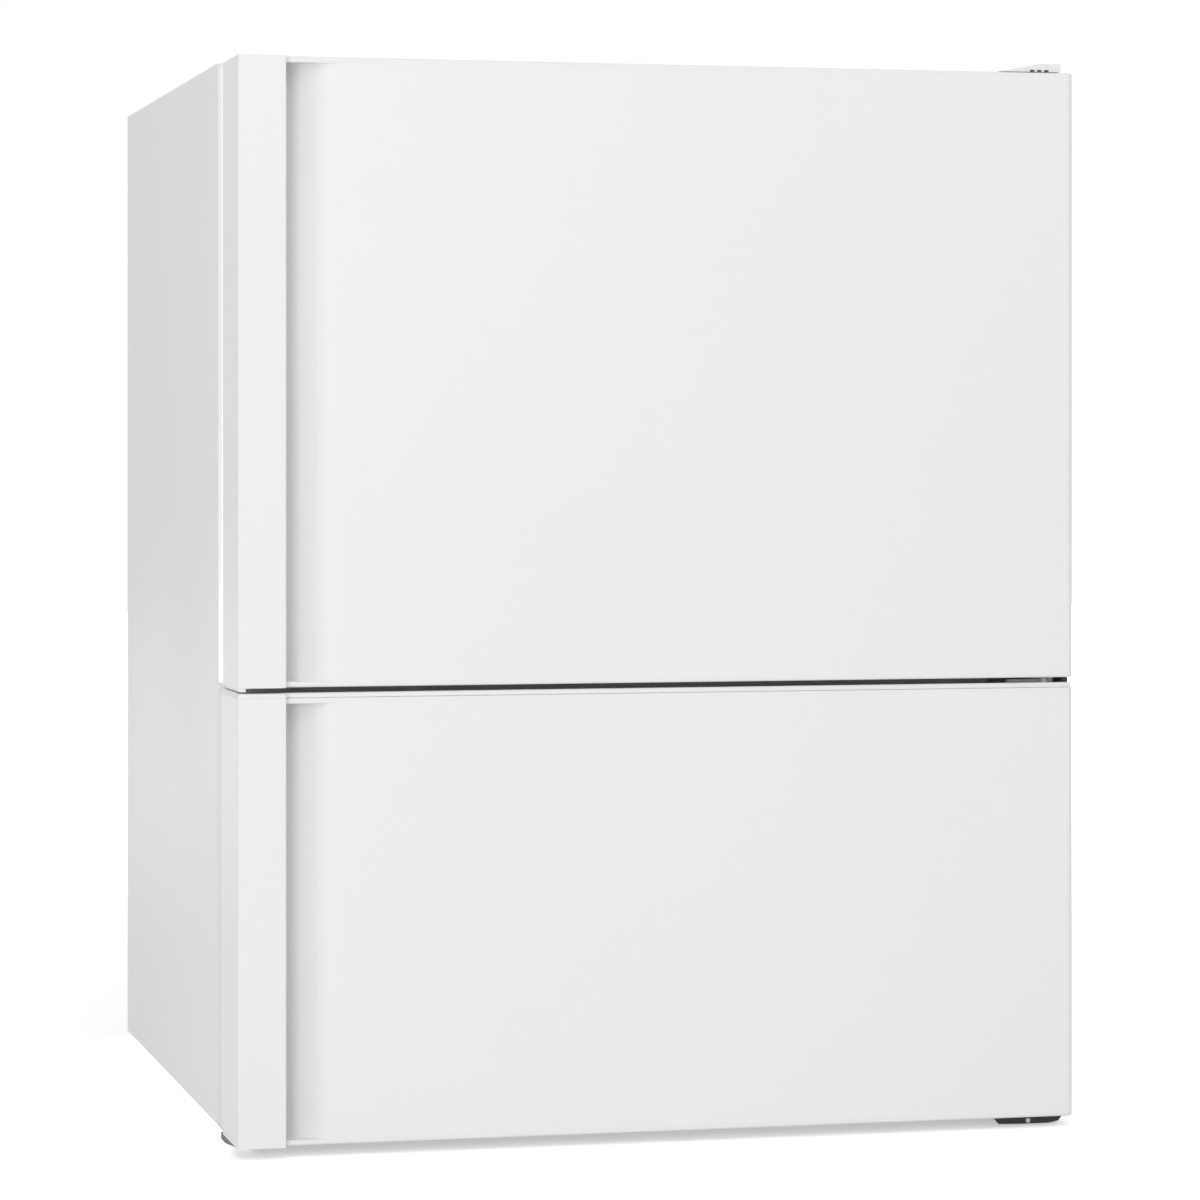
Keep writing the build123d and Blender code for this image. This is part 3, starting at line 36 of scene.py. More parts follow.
# Camera: it stands to the left of the fridge, a little above its middle and level, as the
# photographer's did. The horizon lies above the picture's middle, so the lens is shifted.
picture_px = 1200
focal_px = 4247.7
horizon_px = 447.8
tripod_place = (-1.1201, -4.7665, 0.7322)
turn_to_fridge = math.radians(-13.6196)
lens = bpy.data.cameras.new("studio_camera")
lens.sensor_width = 36.0
lens.lens = focal_px / picture_px * lens.sensor_width
lens.shift_y = (horizon_px - picture_px / 2) / picture_px
lens.clip_end = 60.0
camera = bpy.data.objects.new("studio_camera", lens)
camera.location = tripod_place
camera.rotation_euler = (math.radians(90), 0, turn_to_fridge)
scene.collection.objects.link(camera)
scene.camera = camera
scene.view_settings.view_transform = "Standard"


# Floor and room: a matt white sweep in a white room. The camera, reflections and glass see
# them as white; the fridge is lit more softly, and its shadow stays on the floor. Next to the
# cabinet's left side, painted light for the camera takes that shadow out of the floor.
def linear(sheet_hex):
    """An sRGB hex value as linear RGBA."""
    parts = [int(sheet_hex[i:i + 2], 16) / 255 for i in (1, 3, 5)]
    return tuple(p / 12.92 if p <= 0.04045 else ((p + 0.055) / 1.055) ** 2.4
                 for p in parts) + (1.0,)


def add_node(tree, kind, sockets=None, **settings):
    """Add a node; sockets gives each input a value or another node's output."""
    node = tree.nodes.new("ShaderNode" + kind)
    for name, value in settings.items():
        setattr(node, name, value)
    for name, value in (sockets or {}).items():
        if isinstance(value, bpy.types.NodeSocket):
            tree.links.new(value, node.inputs[name])
        else:
            node.inputs[name].default_value = value
    return node


def start_finish(name):
    """A new material with nothing in it yet, and its node tree."""
    material = bpy.data.materials.new(name)
    material.use_nodes = True
    material.node_tree.nodes.clear()
    return material, material.node_tree


def seen_directly(tree):
    """One for camera, glossy and transmission rays, zero for the light that falls on things."""
    rays = add_node(tree, "LightPath")
    either = add_node(tree, "Math", {
        0: rays.outputs["Is Camera Ray"], 1: rays.outputs["Is Glossy Ray"]}, operation="MAXIMUM")
    return add_node(tree, "Math", {0: either.outputs[0], 1: rays.outputs["Is Transmission Ray"]},
                    operation="MAXIMUM").outputs[0]


room_light = 0.607
room = bpy.data.worlds.new("white_room")
scene.world = room
room.use_nodes = True
tree = room.node_tree
tree.nodes.clear()
soft = add_node(tree, "Background", {"Color": linear("#FFFFFF"), "Strength": room_light})
white = add_node(tree, "Background", {"Color": linear("#FFFFFF"), "Strength": 1.0})
mixed = add_node(tree, "MixShader", {
    0: seen_directly(tree), 1: soft.outputs[0], 2: white.outputs[0]})
add_node(tree, "OutputWorld", {"Surface": mixed.outputs[0]})

floor_half = 14.0
floor_glow = 0.42
white_from, white_to = 1.6, 5.0
# Painted light: next to the cabinet's left side only the camera sees the floor lighter, by this
# much, which paints out the cabinet's shadow there. The metres say where that starts under the
# side, and how far it runs from the cabinet's middle.
painted_side_brightness = 0.55
lift_edge, lift_full = -0.425, -0.435
cabinet_middle, full_reach, last_reach = 0.05, 0.37, 0.47
grid = bmesh.new()
bmesh.ops.create_grid(grid, x_segments=8, y_segments=8, size=floor_half)
sweep_mesh = bpy.data.meshes.new("studio_floor")
grid.to_mesh(sweep_mesh)
grid.free()
studio_floor = bpy.data.objects.new("studio_floor", sweep_mesh)
scene.collection.objects.link(studio_floor)
matt_paint, tree = start_finish("matt_white_floor_paint")
matt = add_node(tree, "BsdfDiffuse", {"Color": linear("#E8E8E8")})
pale = add_node(tree, "BsdfDiffuse", {"Color": linear("#F9F9F9")})
spot = add_node(tree, "TexCoord")
away = add_node(tree, "VectorMath", {0: spot.outputs["Object"]}, operation="LENGTH")
far = add_node(tree, "MapRange", {
    "Value": away.outputs["Value"], "From Min": white_from, "From Max": white_to,
    "To Min": floor_glow, "To Max": 1.0})
across = add_node(tree, "SeparateXYZ", {"Vector": spot.outputs["Object"]})
# Painted light: the floor's glow rises next to the left side, for camera rays only, to paint out
# the cabinet's shadow there.
painted_clearing_across = add_node(tree, "MapRange", {
    "Value": across.outputs["X"], "From Min": lift_edge, "From Max": lift_full,
    "To Max": painted_side_brightness})
from_middle = add_node(tree, "Math", {0: across.outputs["Y"], 1: cabinet_middle},
                       operation="SUBTRACT")
reach = add_node(tree, "Math", {0: from_middle.outputs[0]}, operation="ABSOLUTE")
beside = add_node(tree, "MapRange", {
    "Value": reach.outputs[0], "From Min": last_reach, "From Max": full_reach})
lift = add_node(tree, "Math", {0: painted_clearing_across.outputs[0], 1: beside.outputs[0]},
                operation="MULTIPLY")
rays = add_node(tree, "LightPath")
level = add_node(tree, "Math", {
    0: lift.outputs[0], 1: rays.outputs["Is Camera Ray"], 2: far.outputs[0]},
    operation="MULTIPLY_ADD")
glow = add_node(tree, "Emission", {"Color": linear("#FFFFFF"), "Strength": level.outputs[0]})
both = add_node(tree, "AddShader", {0: pale.outputs[0], 1: glow.outputs[0]})
mixed = add_node(tree, "MixShader", {
    0: seen_directly(tree), 1: matt.outputs[0], 2: both.outputs[0]})
add_node(tree, "OutputMaterial", {"Surface": mixed.outputs[0]})
sweep_mesh.materials.append(matt_paint)

# Lamps: one soft box high in front, one low on the left and a faint one on the right, so
# that the doors are brightest at their top left corner. They add no reflections of their own.
fridge_middle = Vector((0.0, 0.0, 0.55))
for name, place, size, watts in (
    ("high_soft_box", (-0.5, -4.0, 4.5), 3.2, 45.0),
    ("low_left_soft_box", (-2.5, -4.8, 0.9), 1.6, 58.0),
    ("right_soft_box", (1.5, -5.2, 2.6), 3.2, 11.0),
):
    lamp = bpy.data.lights.new(name, "AREA")
    lamp.shape = "SQUARE"
    lamp.size = size
    lamp.energy = watts
    holder = bpy.data.objects.new(name, lamp)
    holder.location = place
    aim = fridge_middle - Vector(place)
    holder.rotation_euler = aim.to_track_quat("-Z", "Y").to_euler()
    holder.visible_glossy = False
    scene.collection.objects.link(holder)


# Cabinet sides, top and centre rail: cold rolled steel sheet, folded and powder coated white.
# Powder flows and sets with a faint orange peel, so highlights on it are soft and broken.
def dress(names, material):
    """Give CAD nodes a material in every slot."""
    for name in names:
        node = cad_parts[name]
        if not node.material_slots:
            node.data.materials.append(material)
        for holder in node.material_slots:
            holder.material = material


def per_metre(millimetres):
    """The texture scale that makes a feature this many millimetres across."""
    return 1000.0 / millimetres


powder_coat, tree = start_finish("white_powder_coat_on_steel")
place = add_node(tree, "TexCoord").outputs["Object"]
drift = add_node(tree, "TexNoise", {"Vector": place, "Scale": per_metre(420.0), "Detail": 2.0})
peel = add_node(tree, "TexNoise", {"Vector": place, "Scale": per_metre(3.0), "Detail": 1.0})
sheen = add_node(tree, "MapRange", {"Value": drift.outputs["Fac"], "To Min": 0.34, "To Max": 0.46})
bump = add_node(tree, "Bump", {"Height": peel.outputs["Fac"], "Strength": 0.15, "Distance": 0.0002})
tint = add_node(tree, "Mix", {
    "Factor": drift.outputs["Fac"],
    "A": linear("#EEEEED"), "B": linear("#F2F2F2")}, data_type="RGBA")
shader = add_node(tree, "BsdfPrincipled", {
    "Base Color": tint.outputs["Result"],
    "Roughness": sheen.outputs[0], "IOR": 1.5, "Normal": bump.outputs[0]})
add_node(tree, "OutputMaterial", {"Surface": shader.outputs[0]})
dress(("left_side_panel", "right_side_panel", "top_panel", "centre_rail"), powder_coat)

# Back sheet: thinner steel, coated mid grey on the coil before it is cut. Dust that the warm
# air carries past it leaves soft cloudy patches.
coil_grey, tree = start_finish("grey_coil_coated_steel")
place = add_node(tree, "TexCoord").outputs["Object"]
dust = add_node(tree, "TexNoise", {
    "Vector": place, "Scale": per_metre(160.0), "Detail": 5.0, "Roughness": 0.6})
grain = add_node(tree, "TexNoise", {"Vector": place, "Scale": per_metre(2.0), "Detail": 1.0})
bump = add_node(tree, "Bump", {"Height": grain.outputs["Fac"], "Strength": 0.1, "Distance": 0.0001})
tint = add_node(tree, "Mix", {
    "Factor": dust.outputs["Fac"],
    "A": linear("#A7A9AB"), "B": linear("#B6B7B7")}, data_type="RGBA")
shader = add_node(tree, "BsdfPrincipled", {
    "Base Color": tint.outputs["Result"],
    "Roughness": 0.55, "IOR": 1.5, "Normal": bump.outputs[0]})
add_node(tree, "OutputMaterial", {"Surface": shader.outputs[0]})
dress(("back_panel",), coil_grey)

# Base tray, bay wall and roller brackets: hot dip galvanised steel, left bare. The zinc
# freezes into flat crystals about 12 mm across, each a slightly different grey.
galvanised, tree = start_finish("hot_dip_galvanised_steel")
place = add_node(tree, "TexCoord").outputs["Object"]
crystal = add_node(tree, "TexVoronoi", {"Vector": place, "Scale": per_metre(12.0)})
lightness = add_node(tree, "SeparateColor", {"Color": crystal.outputs["Color"]})
frost = add_node(tree, "TexNoise", {"Vector": place, "Scale": per_metre(1.5), "Detail": 2.0})
rough = add_node(tree, "MapRange", {"Value": lightness.outputs[0], "To Min": 0.38, "To Max": 0.55})
bump = add_node(tree, "Bump", {"Height": frost.outputs["Fac"], "Strength": 0.1, "Distance": 0.0001})
tint = add_node(tree, "Mix", {
    "Factor": lightness.outputs[0],
    "A": linear("#A9ADB0"), "B": linear("#C6C9CB")}, data_type="RGBA")
shader = add_node(tree, "BsdfPrincipled", {
    "Base Color": tint.outputs["Result"],
    "Metallic": 1.0, "Roughness": rough.outputs[0], "Normal": bump.outputs[0]})
add_node(tree, "OutputMaterial", {"Surface": shader.outputs[0]})
dress(("base_tray", "compressor_bay_wall", "roller_brackets"), galvanised)

# Foam: rigid polyurethane, poured and left to rise between shell and liner. Its cells are
# near 0.5 mm and are drawn at 2 mm, so that a cut face shows them.
foam, tree = start_finish("rigid_polyurethane_foam")
place = add_node(tree, "TexCoord").outputs["Object"]
cells = add_node(tree, "TexVoronoi", {"Vector": place, "Scale": per_metre(2.0)})
rise = add_node(tree, "TexNoise", {"Vector": place, "Scale": per_metre(60.0), "Detail": 3.0})
bump = add_node(tree, "Bump", {
    "Height": cells.outputs["Distance"], "Strength": 0.5, "Distance": 0.0006})
tint = add_node(tree, "Mix", {
    "Factor": rise.outputs["Fac"],
    "A": linear("#E9DCB4"), "B": linear("#F3EACB")}, data_type="RGBA")
shader = add_node(tree, "BsdfPrincipled", {
    "Base Color": tint.outputs["Result"],
    "Roughness": 0.9, "IOR": 1.45, "Normal": bump.outputs[0]})
add_node(tree, "OutputMaterial", {"Surface": shader.outputs[0]})
dress(("cabinet_insulation", "upper_door_insulation", "lower_door_insulation"), foam)

# Liners, evaporator cover and air duct: high impact polystyrene sheet, drawn hot over a
# mould. It is glossy, and thins and ripples a little where it stretched.
liner_sheet, tree = start_finish("vacuum_formed_polystyrene")
place = add_node(tree, "TexCoord").outputs["Object"]
stretch = add_node(tree, "TexNoise", {"Vector": place, "Scale": per_metre(90.0), "Detail": 2.0})
ripple = add_node(tree, "TexNoise", {"Vector": place, "Scale": per_metre(40.0), "Detail": 0.0})
gloss = add_node(tree, "MapRange", {
    "Value": stretch.outputs["Fac"],
    "To Min": 0.26, "To Max": 0.34})
bump = add_node(tree, "Bump", {
    "Height": ripple.outputs["Fac"], "Strength": 0.08, "Distance": 0.0004})
tint = add_node(tree, "Mix", {
    "Factor": stretch.outputs["Fac"],
    "A": linear("#EDEFEF"), "B": linear("#F3F4F4")}, data_type="RGBA")
shader = add_node(tree, "BsdfPrincipled", {
    "Base Color": tint.outputs["Result"],
    "Roughness": gloss.outputs[0], "IOR": 1.59, "Normal": bump.outputs[0]})
add_node(tree, "OutputMaterial", {"Surface": shader.outputs[0]})
dress(("fridge_liner", "freezer_liner", "upper_door_liner", "lower_door_liner",
       "evaporator_cover", "air_duct_cover"), liner_sheet)

# Top and middle hinges and their screws: pressed steel, zinc plated and passivated. The
# thin film gives the grey metal a faint drift between blue and straw.
zinc_plate, tree = start_finish("passivated_zinc_plate")
place = add_node(tree, "TexCoord").outputs["Object"]
film = add_node(tree, "TexNoise", {"Vector": place, "Scale": per_metre(18.0), "Detail": 2.0})
press = add_node(tree, "TexNoise", {"Vector": place, "Scale": per_metre(1.2), "Detail": 2.0})
bump = add_node(tree, "Bump", {"Height": press.outputs["Fac"], "Strength": 0.2, "Distance": 0.0001})
tint = add_node(tree, "Mix", {
    "Factor": film.outputs["Fac"],
    "A": linear("#A3A8AC"), "B": linear("#B1AFA6")}, data_type="RGBA")
shader = add_node(tree, "BsdfPrincipled", {
    "Base Color": tint.outputs["Result"],
    "Metallic": 1.0, "Roughness": 0.36, "Normal": bump.outputs[0]})
add_node(tree, "OutputMaterial", {"Surface": shader.outputs[0]})
dress(("top_hinge_bracket", "middle_hinge_bracket", "hinge_screws"), zinc_plate)

# Bottom hinge and left foot bracket: the same pressed steel, powder coated black against the
# damp of the floor. The coat is satin and slightly pebbled.
black_coat, tree = start_finish("black_powder_coat_on_steel")
place = add_node(tree, "TexCoord").outputs["Object"]
pebble = add_node(tree, "TexNoise", {"Vector": place, "Scale": per_metre(1.6), "Detail": 1.0})
scuff = add_node(tree, "TexNoise", {"Vector": place, "Scale": per_metre(25.0), "Detail": 4.0})
bump = add_node(tree, "Bump", {
    "Height": pebble.outputs["Fac"], "Strength": 0.3, "Distance": 0.0002})
tint = add_node(tree, "Mix", {
    "Factor": scuff.outputs["Fac"],
    "A": linear("#1A1B1D"), "B": linear("#2A2B2D")}, data_type="RGBA")
shader = add_node(tree, "BsdfPrincipled", {
    "Base Color": tint.outputs["Result"],
    "Roughness": 0.42, "IOR": 1.5, "Normal": bump.outputs[0]})
add_node(tree, "OutputMaterial", {"Surface": shader.outputs[0]})
dress(("bottom_hinge_bracket", "left_foot_bracket"), black_coat)

# Feet, rollers, terminal box, drain tray and fan motor: nylon and polypropylene, moulded
# black. The mould's spark eroded grain makes them matt, and handling leaves grey marks.
black_nylon, tree = start_finish("moulded_black_nylon")
place = add_node(tree, "TexCoord").outputs["Object"]
spark = add_node(tree, "TexNoise", {"Vector": place, "Scale": per_metre(0.8), "Detail": 2.0})
marks = add_node(tree, "TexNoise", {
    "Vector": place, "Scale": per_metre(12.0), "Detail": 4.0, "Roughness": 0.7})
bump = add_node(tree, "Bump", {"Height": spark.outputs["Fac"], "Strength": 0.3, "Distance": 0.0001})
tint = add_node(tree, "Mix", {
    "Factor": marks.outputs["Fac"],
    "A": linear("#1B1B1C"), "B": linear("#313132")}, data_type="RGBA")
shader = add_node(tree, "BsdfPrincipled", {
    "Base Color": tint.outputs["Result"],
    "Roughness": 0.58, "IOR": 1.53, "Normal": bump.outputs[0]})
add_node(tree, "OutputMaterial", {"Surface": shader.outputs[0]})
dress(("left_front_foot", "right_front_foot", "left_rear_roller", "right_rear_roller",
       "compressor_terminal_box", "drain_water_tray", "fan_motor"), black_nylon)

# Compressor and condenser: welded steel, dipped in black stove enamel. Dust settles on what
# faces up, so those faces turn grey.
stove_enamel, tree = start_finish("black_stove_enamel")
place = add_node(tree, "TexCoord").outputs["Object"]
facing = add_node(tree, "SeparateXYZ", {"Vector": add_node(tree, "NewGeometry").outputs["Normal"]})
fluff = add_node(tree, "TexNoise", {
    "Vector": place, "Scale": per_metre(9.0), "Detail": 4.0, "Roughness": 0.7})
upward = add_node(tree, "MapRange", {"Value": facing.outputs["Z"], "From Min": 0.2, "To Max": 0.6})
settled = add_node(tree, "Math", {
    0: upward.outputs[0], 1: fluff.outputs["Fac"]}, operation="MULTIPLY")
runs = add_node(tree, "TexNoise", {"Vector": place, "Scale": per_metre(5.0), "Detail": 1.0})
dull = add_node(tree, "MapRange", {"Value": settled.outputs[0], "To Min": 0.24, "To Max": 0.9})
bump = add_node(tree, "Bump", {"Height": runs.outputs["Fac"], "Strength": 0.15, "Distance": 0.0003})
tint = add_node(tree, "Mix", {
    "Factor": settled.outputs[0],
    "A": linear("#121314"), "B": linear("#77746E")}, data_type="RGBA")
shader = add_node(tree, "BsdfPrincipled", {
    "Base Color": tint.outputs["Result"],
    "Roughness": dull.outputs[0], "IOR": 1.5, "Normal": bump.outputs[0]})
add_node(tree, "OutputMaterial", {"Surface": shader.outputs[0]})
dress(("compressor", "condenser"), stove_enamel)

# Compressor mounts: moulded synthetic rubber, dull black, with the pale bloom that works its
# way out of the rubber with age.
mount_rubber, tree = start_finish("moulded_rubber")
place = add_node(tree, "TexCoord").outputs["Object"]
bloom = add_node(tree, "TexNoise", {"Vector": place, "Scale": per_metre(6.0), "Detail": 4.0})
skin = add_node(tree, "TexNoise", {"Vector": place, "Scale": per_metre(0.9), "Detail": 1.0})
bump = add_node(tree, "Bump", {"Height": skin.outputs["Fac"], "Strength": 0.3, "Distance": 0.0001})
tint = add_node(tree, "Mix", {
    "Factor": bloom.outputs["Fac"],
    "A": linear("#1D1C1B"), "B": linear("#3A3937")}, data_type="RGBA")
shader = add_node(tree, "BsdfPrincipled", {
    "Base Color": tint.outputs["Result"],
    "Roughness": 0.8, "IOR": 1.52, "Normal": bump.outputs[0]})
add_node(tree, "OutputMaterial", {"Surface": shader.outputs[0]})
dress(("compressor_mounts",), mount_rubber)

# Pipes and filter dryer: drawn copper, brazed at the joints. Handling and heat darken it in
# patches from pink to brown.
copper_tube, tree = start_finish("drawn_copper")
place = add_node(tree, "TexCoord").outputs["Object"]
tarnish = add_node(tree, "TexNoise", {
    "Vector": place, "Scale": per_metre(22.0), "Detail": 5.0, "Roughness": 0.6})
draw_marks = add_node(tree, "TexNoise", {"Vector": place, "Scale": per_metre(0.7), "Detail": 1.0})
worn = add_node(tree, "MapRange", {
    "Value": tarnish.outputs["Fac"], "From Min": 0.3, "From Max": 0.7})
rough = add_node(tree, "MapRange", {"Value": worn.outputs[0], "To Min": 0.28, "To Max": 0.5})
bump = add_node(tree, "Bump", {
    "Height": draw_marks.outputs["Fac"], "Strength": 0.1, "Distance": 0.0001})
tint = add_node(tree, "Mix", {
    "Factor": worn.outputs[0],
    "A": linear("#D08A66"), "B": linear("#8F553B")}, data_type="RGBA")
shader = add_node(tree, "BsdfPrincipled", {
    "Base Color": tint.outputs["Result"],
    "Metallic": 1.0, "Roughness": rough.outputs[0], "Normal": bump.outputs[0]})
add_node(tree, "OutputMaterial", {"Surface": shader.outputs[0]})
dress(("refrigerant_pipes", "filter_dryer"), copper_tube)

# Evaporator: aluminium tube and rolled fin stock. Rolling leaves fine lines along the fins,
# and frost and defrosting dull the metal.
fin_stock, tree = start_finish("mill_finish_aluminium")
place = add_node(tree, "TexCoord").outputs["Object"]
along = add_node(tree, "Mapping", {"Vector": place, "Scale": (1.0, 0.08, 1.0)})
rolled = add_node(tree, "TexNoise", {
    "Vector": along.outputs[0], "Scale": per_metre(1.0), "Detail": 2.0})
etched = add_node(tree, "TexNoise", {"Vector": place, "Scale": per_metre(15.0), "Detail": 3.0})
bump = add_node(tree, "Bump", {
    "Height": rolled.outputs["Fac"], "Strength": 0.15, "Distance": 0.0001})
tint = add_node(tree, "Mix", {
    "Factor": etched.outputs["Fac"],
    "A": linear("#C9CCCE"), "B": linear("#DEE0E1")}, data_type="RGBA")
shader = add_node(tree, "BsdfPrincipled", {
    "Base Color": tint.outputs["Result"],
    "Metallic": 1.0, "Roughness": 0.4, "Normal": bump.outputs[0]})
add_node(tree, "OutputMaterial", {"Surface": shader.outputs[0]})
dress(("evaporator",), fin_stock)

# Shelves: 4 mm float glass, ground at the edges and toughened. The iron in it gives a faint
# green, and wiping leaves smears that only show in the gloss.
float_glass, tree = start_finish("toughened_float_glass")
place = add_node(tree, "TexCoord").outputs["Object"]
smears = add_node(tree, "TexNoise", {
    "Vector": place, "Scale": per_metre(70.0), "Detail": 4.0, "Distortion": 1.5})
wiped = add_node(tree, "MapRange", {
    "Value": smears.outputs["Fac"], "From Min": 0.4, "From Max": 0.7,
    "To Min": 0.01, "To Max": 0.07})
tint = add_node(tree, "Mix", {
    "Factor": smears.outputs["Fac"],
    "A": linear("#EAF7F1"), "B": linear("#F0FAF5")}, data_type="RGBA")
shader = add_node(tree, "BsdfPrincipled", {
    "Base Color": tint.outputs["Result"],
    "Roughness": wiped.outputs[0], "IOR": 1.52, "Transmission Weight": 1.0})
add_node(tree, "OutputMaterial", {"Surface": shader.outputs[0]})
dress(("crisper_shelf_glass", "lower_shelf_glass", "upper_shelf_glass"), float_glass)

# Crispers, freezer drawers and door bins: clear styrene acrylonitrile, injection moulded. It
# is faintly blue, wavy where the melt flowed, and finely scratched in use.
clear_san, tree = start_finish("clear_moulded_san")
place = add_node(tree, "TexCoord").outputs["Object"]
flow = add_node(tree, "TexNoise", {
    "Vector": place, "Scale": per_metre(45.0), "Detail": 1.0, "Distortion": 0.8})
scratch = add_node(tree, "TexNoise", {"Vector": place, "Scale": per_metre(3.0), "Detail": 3.0})
clouded = add_node(tree, "MapRange", {
    "Value": scratch.outputs["Fac"], "From Min": 0.4, "From Max": 0.7,
    "To Min": 0.05, "To Max": 0.14})
bump = add_node(tree, "Bump", {"Height": flow.outputs["Fac"], "Strength": 0.2, "Distance": 0.0005})
tint = add_node(tree, "Mix", {
    "Factor": flow.outputs["Fac"],
    "A": linear("#F0F7FA"), "B": linear("#F7FBFC")}, data_type="RGBA")
shader = add_node(tree, "BsdfPrincipled", {
    "Base Color": tint.outputs["Result"], "Roughness": clouded.outputs[0], "IOR": 1.57,
    "Transmission Weight": 0.75, "Normal": bump.outputs[0]})
add_node(tree, "OutputMaterial", {"Surface": shader.outputs[0]})
dress(("left_crisper", "right_crisper", "freezer_drawer_top", "freezer_drawer_middle",
       "freezer_drawer_bottom", "bottle_bin", "middle_bin", "top_bin"), clear_san)

# Lamp lens: polycarbonate with fine prisms moulded inside, so that it scatters the bulb's
# light and looks milky.
prism_lens, tree = start_finish("prismatic_polycarbonate")
place = add_node(tree, "TexCoord").outputs["Object"]
prisms = add_node(tree, "TexVoronoi", {"Vector": place, "Scale": per_metre(3.0)})
milk = add_node(tree, "TexNoise", {"Vector": place, "Scale": per_metre(30.0), "Detail": 2.0})
bump = add_node(tree, "Bump", {
    "Height": prisms.outputs["Distance"], "Strength": 0.6, "Distance": 0.0008})
tint = add_node(tree, "Mix", {
    "Factor": milk.outputs["Fac"],
    "A": linear("#F1F2EE"), "B": linear("#F7F8F5")}, data_type="RGBA")
shader = add_node(tree, "BsdfPrincipled", {
    "Base Color": tint.outputs["Result"],
    "Roughness": 0.22, "IOR": 1.58, "Transmission Weight": 0.6, "Normal": bump.outputs[0]})
add_node(tree, "OutputMaterial", {"Surface": shader.outputs[0]})
dress(("lamp_lens",), prism_lens)

# End caps, hinge cover, shelf trims, lamp housing, knob and fan impeller: ABS, injection
# moulded in white. A fine spark eroded grain keeps it satin.
moulded_abs, tree = start_finish("moulded_white_abs")
place = add_node(tree, "TexCoord").outputs["Object"]
spark = add_node(tree, "TexNoise", {"Vector": place, "Scale": per_metre(0.9), "Detail": 2.0})
sink = add_node(tree, "TexNoise", {"Vector": place, "Scale": per_metre(40.0), "Detail": 1.0})
bump = add_node(tree, "Bump", {
    "Height": spark.outputs["Fac"], "Strength": 0.12, "Distance": 0.0001})
tint = add_node(tree, "Mix", {
    "Factor": sink.outputs["Fac"],
    "A": linear("#EDEDEC"), "B": linear("#F1F1F0")}, data_type="RGBA")
shader = add_node(tree, "BsdfPrincipled", {
    "Base Color": tint.outputs["Result"],
    "Roughness": 0.42, "IOR": 1.54, "Normal": bump.outputs[0]})
add_node(tree, "OutputMaterial", {"Surface": shader.outputs[0]})
dress(("upper_door_caps", "lower_door_caps", "top_hinge_cover", "shelf_trims", "lamp_housing",
       "thermostat_knob", "fan_impeller"), moulded_abs)

# Door gaskets: soft PVC, extruded and welded at the corners. It is matt and slightly grey,
# and the extrusion leaves lines along it.
gasket_pvc, tree = start_finish("soft_extruded_pvc")
place = add_node(tree, "TexCoord").outputs["Object"]
handled = add_node(tree, "TexNoise", {"Vector": place, "Scale": per_metre(35.0), "Detail": 3.0})
lines = add_node(tree, "TexWave", {"Vector": place, "Scale": per_metre(18.0), "Distortion": 0.3},
                 bands_direction="Y")
bump = add_node(tree, "Bump", {"Height": lines.outputs["Fac"], "Strength": 0.2, "Distance": 0.0003})
tint = add_node(tree, "Mix", {
    "Factor": handled.outputs["Fac"],
    "A": linear("#E9E9E8"), "B": linear("#F1F1EF")}, data_type="RGBA")
shader = add_node(tree, "BsdfPrincipled", {
    "Base Color": tint.outputs["Result"],
    "Roughness": 0.62, "IOR": 1.52, "Normal": bump.outputs[0]})
add_node(tree, "OutputMaterial", {"Surface": shader.outputs[0]})
dress(("upper_door_gasket", "lower_door_gasket"), gasket_pvc)

# Door panels: steel sheet, coil coated white, folded round the door and down into the grip.
# The film is smoother than powder, with a long soft waviness from the rollers.
door_enamel, tree = start_finish("white_coil_coated_steel")
place = add_node(tree, "TexCoord").outputs["Object"]
drift = add_node(tree, "TexNoise", {"Vector": place, "Scale": per_metre(500.0), "Detail": 1.0})
wave = add_node(tree, "TexNoise", {"Vector": place, "Scale": per_metre(60.0), "Detail": 1.0})
film = add_node(tree, "TexNoise", {"Vector": place, "Scale": per_metre(2.5), "Detail": 1.0})
height = add_node(tree, "Math", {0: film.outputs["Fac"], 1: 0.05, 2: wave.outputs["Fac"]},
                  operation="MULTIPLY_ADD")
sheen = add_node(tree, "MapRange", {"Value": drift.outputs["Fac"], "To Min": 0.3, "To Max": 0.38})
bump = add_node(tree, "Bump", {"Height": height.outputs[0], "Strength": 0.1, "Distance": 0.0015})
tint = add_node(tree, "Mix", {
    "Factor": drift.outputs["Fac"],
    "A": linear("#EFEFEF"), "B": linear("#F2F2F1")}, data_type="RGBA")
shader = add_node(tree, "BsdfPrincipled", {
    "Base Color": tint.outputs["Result"],
    "Roughness": sheen.outputs[0], "IOR": 1.5, "Normal": bump.outputs[0]})
add_node(tree, "OutputMaterial", {"Surface": shader.outputs[0]})
dress(("upper_door_panel", "lower_door_panel"), door_enamel)

# Grip strips: extruded aluminium, powder coated white to match. Very faint lines of the
# extrusion run up them under the coat.
coated_strip, tree = start_finish("white_powder_coat_on_aluminium")
place = add_node(tree, "TexCoord").outputs["Object"]
drift = add_node(tree, "TexNoise", {"Vector": place, "Scale": per_metre(300.0), "Detail": 1.0})
upright = add_node(tree, "Mapping", {"Vector": place, "Scale": (1.0, 1.0, 0.02)})
die_lines = add_node(tree, "TexNoise", {
    "Vector": upright.outputs[0], "Scale": per_metre(2.0), "Detail": 1.0})
bump = add_node(tree, "Bump", {
    "Height": die_lines.outputs["Fac"], "Strength": 0.1, "Distance": 0.0001})
tint = add_node(tree, "Mix", {
    "Factor": drift.outputs["Fac"],
    "A": linear("#EEEEEE"), "B": linear("#F1F1F1")}, data_type="RGBA")
shader = add_node(tree, "BsdfPrincipled", {
    "Base Color": tint.outputs["Result"],
    "Roughness": 0.36, "IOR": 1.5, "Normal": bump.outputs[0]})
add_node(tree, "OutputMaterial", {"Surface": shader.outputs[0]})
dress(("upper_grip_strip", "lower_grip_strip"), coated_strip)

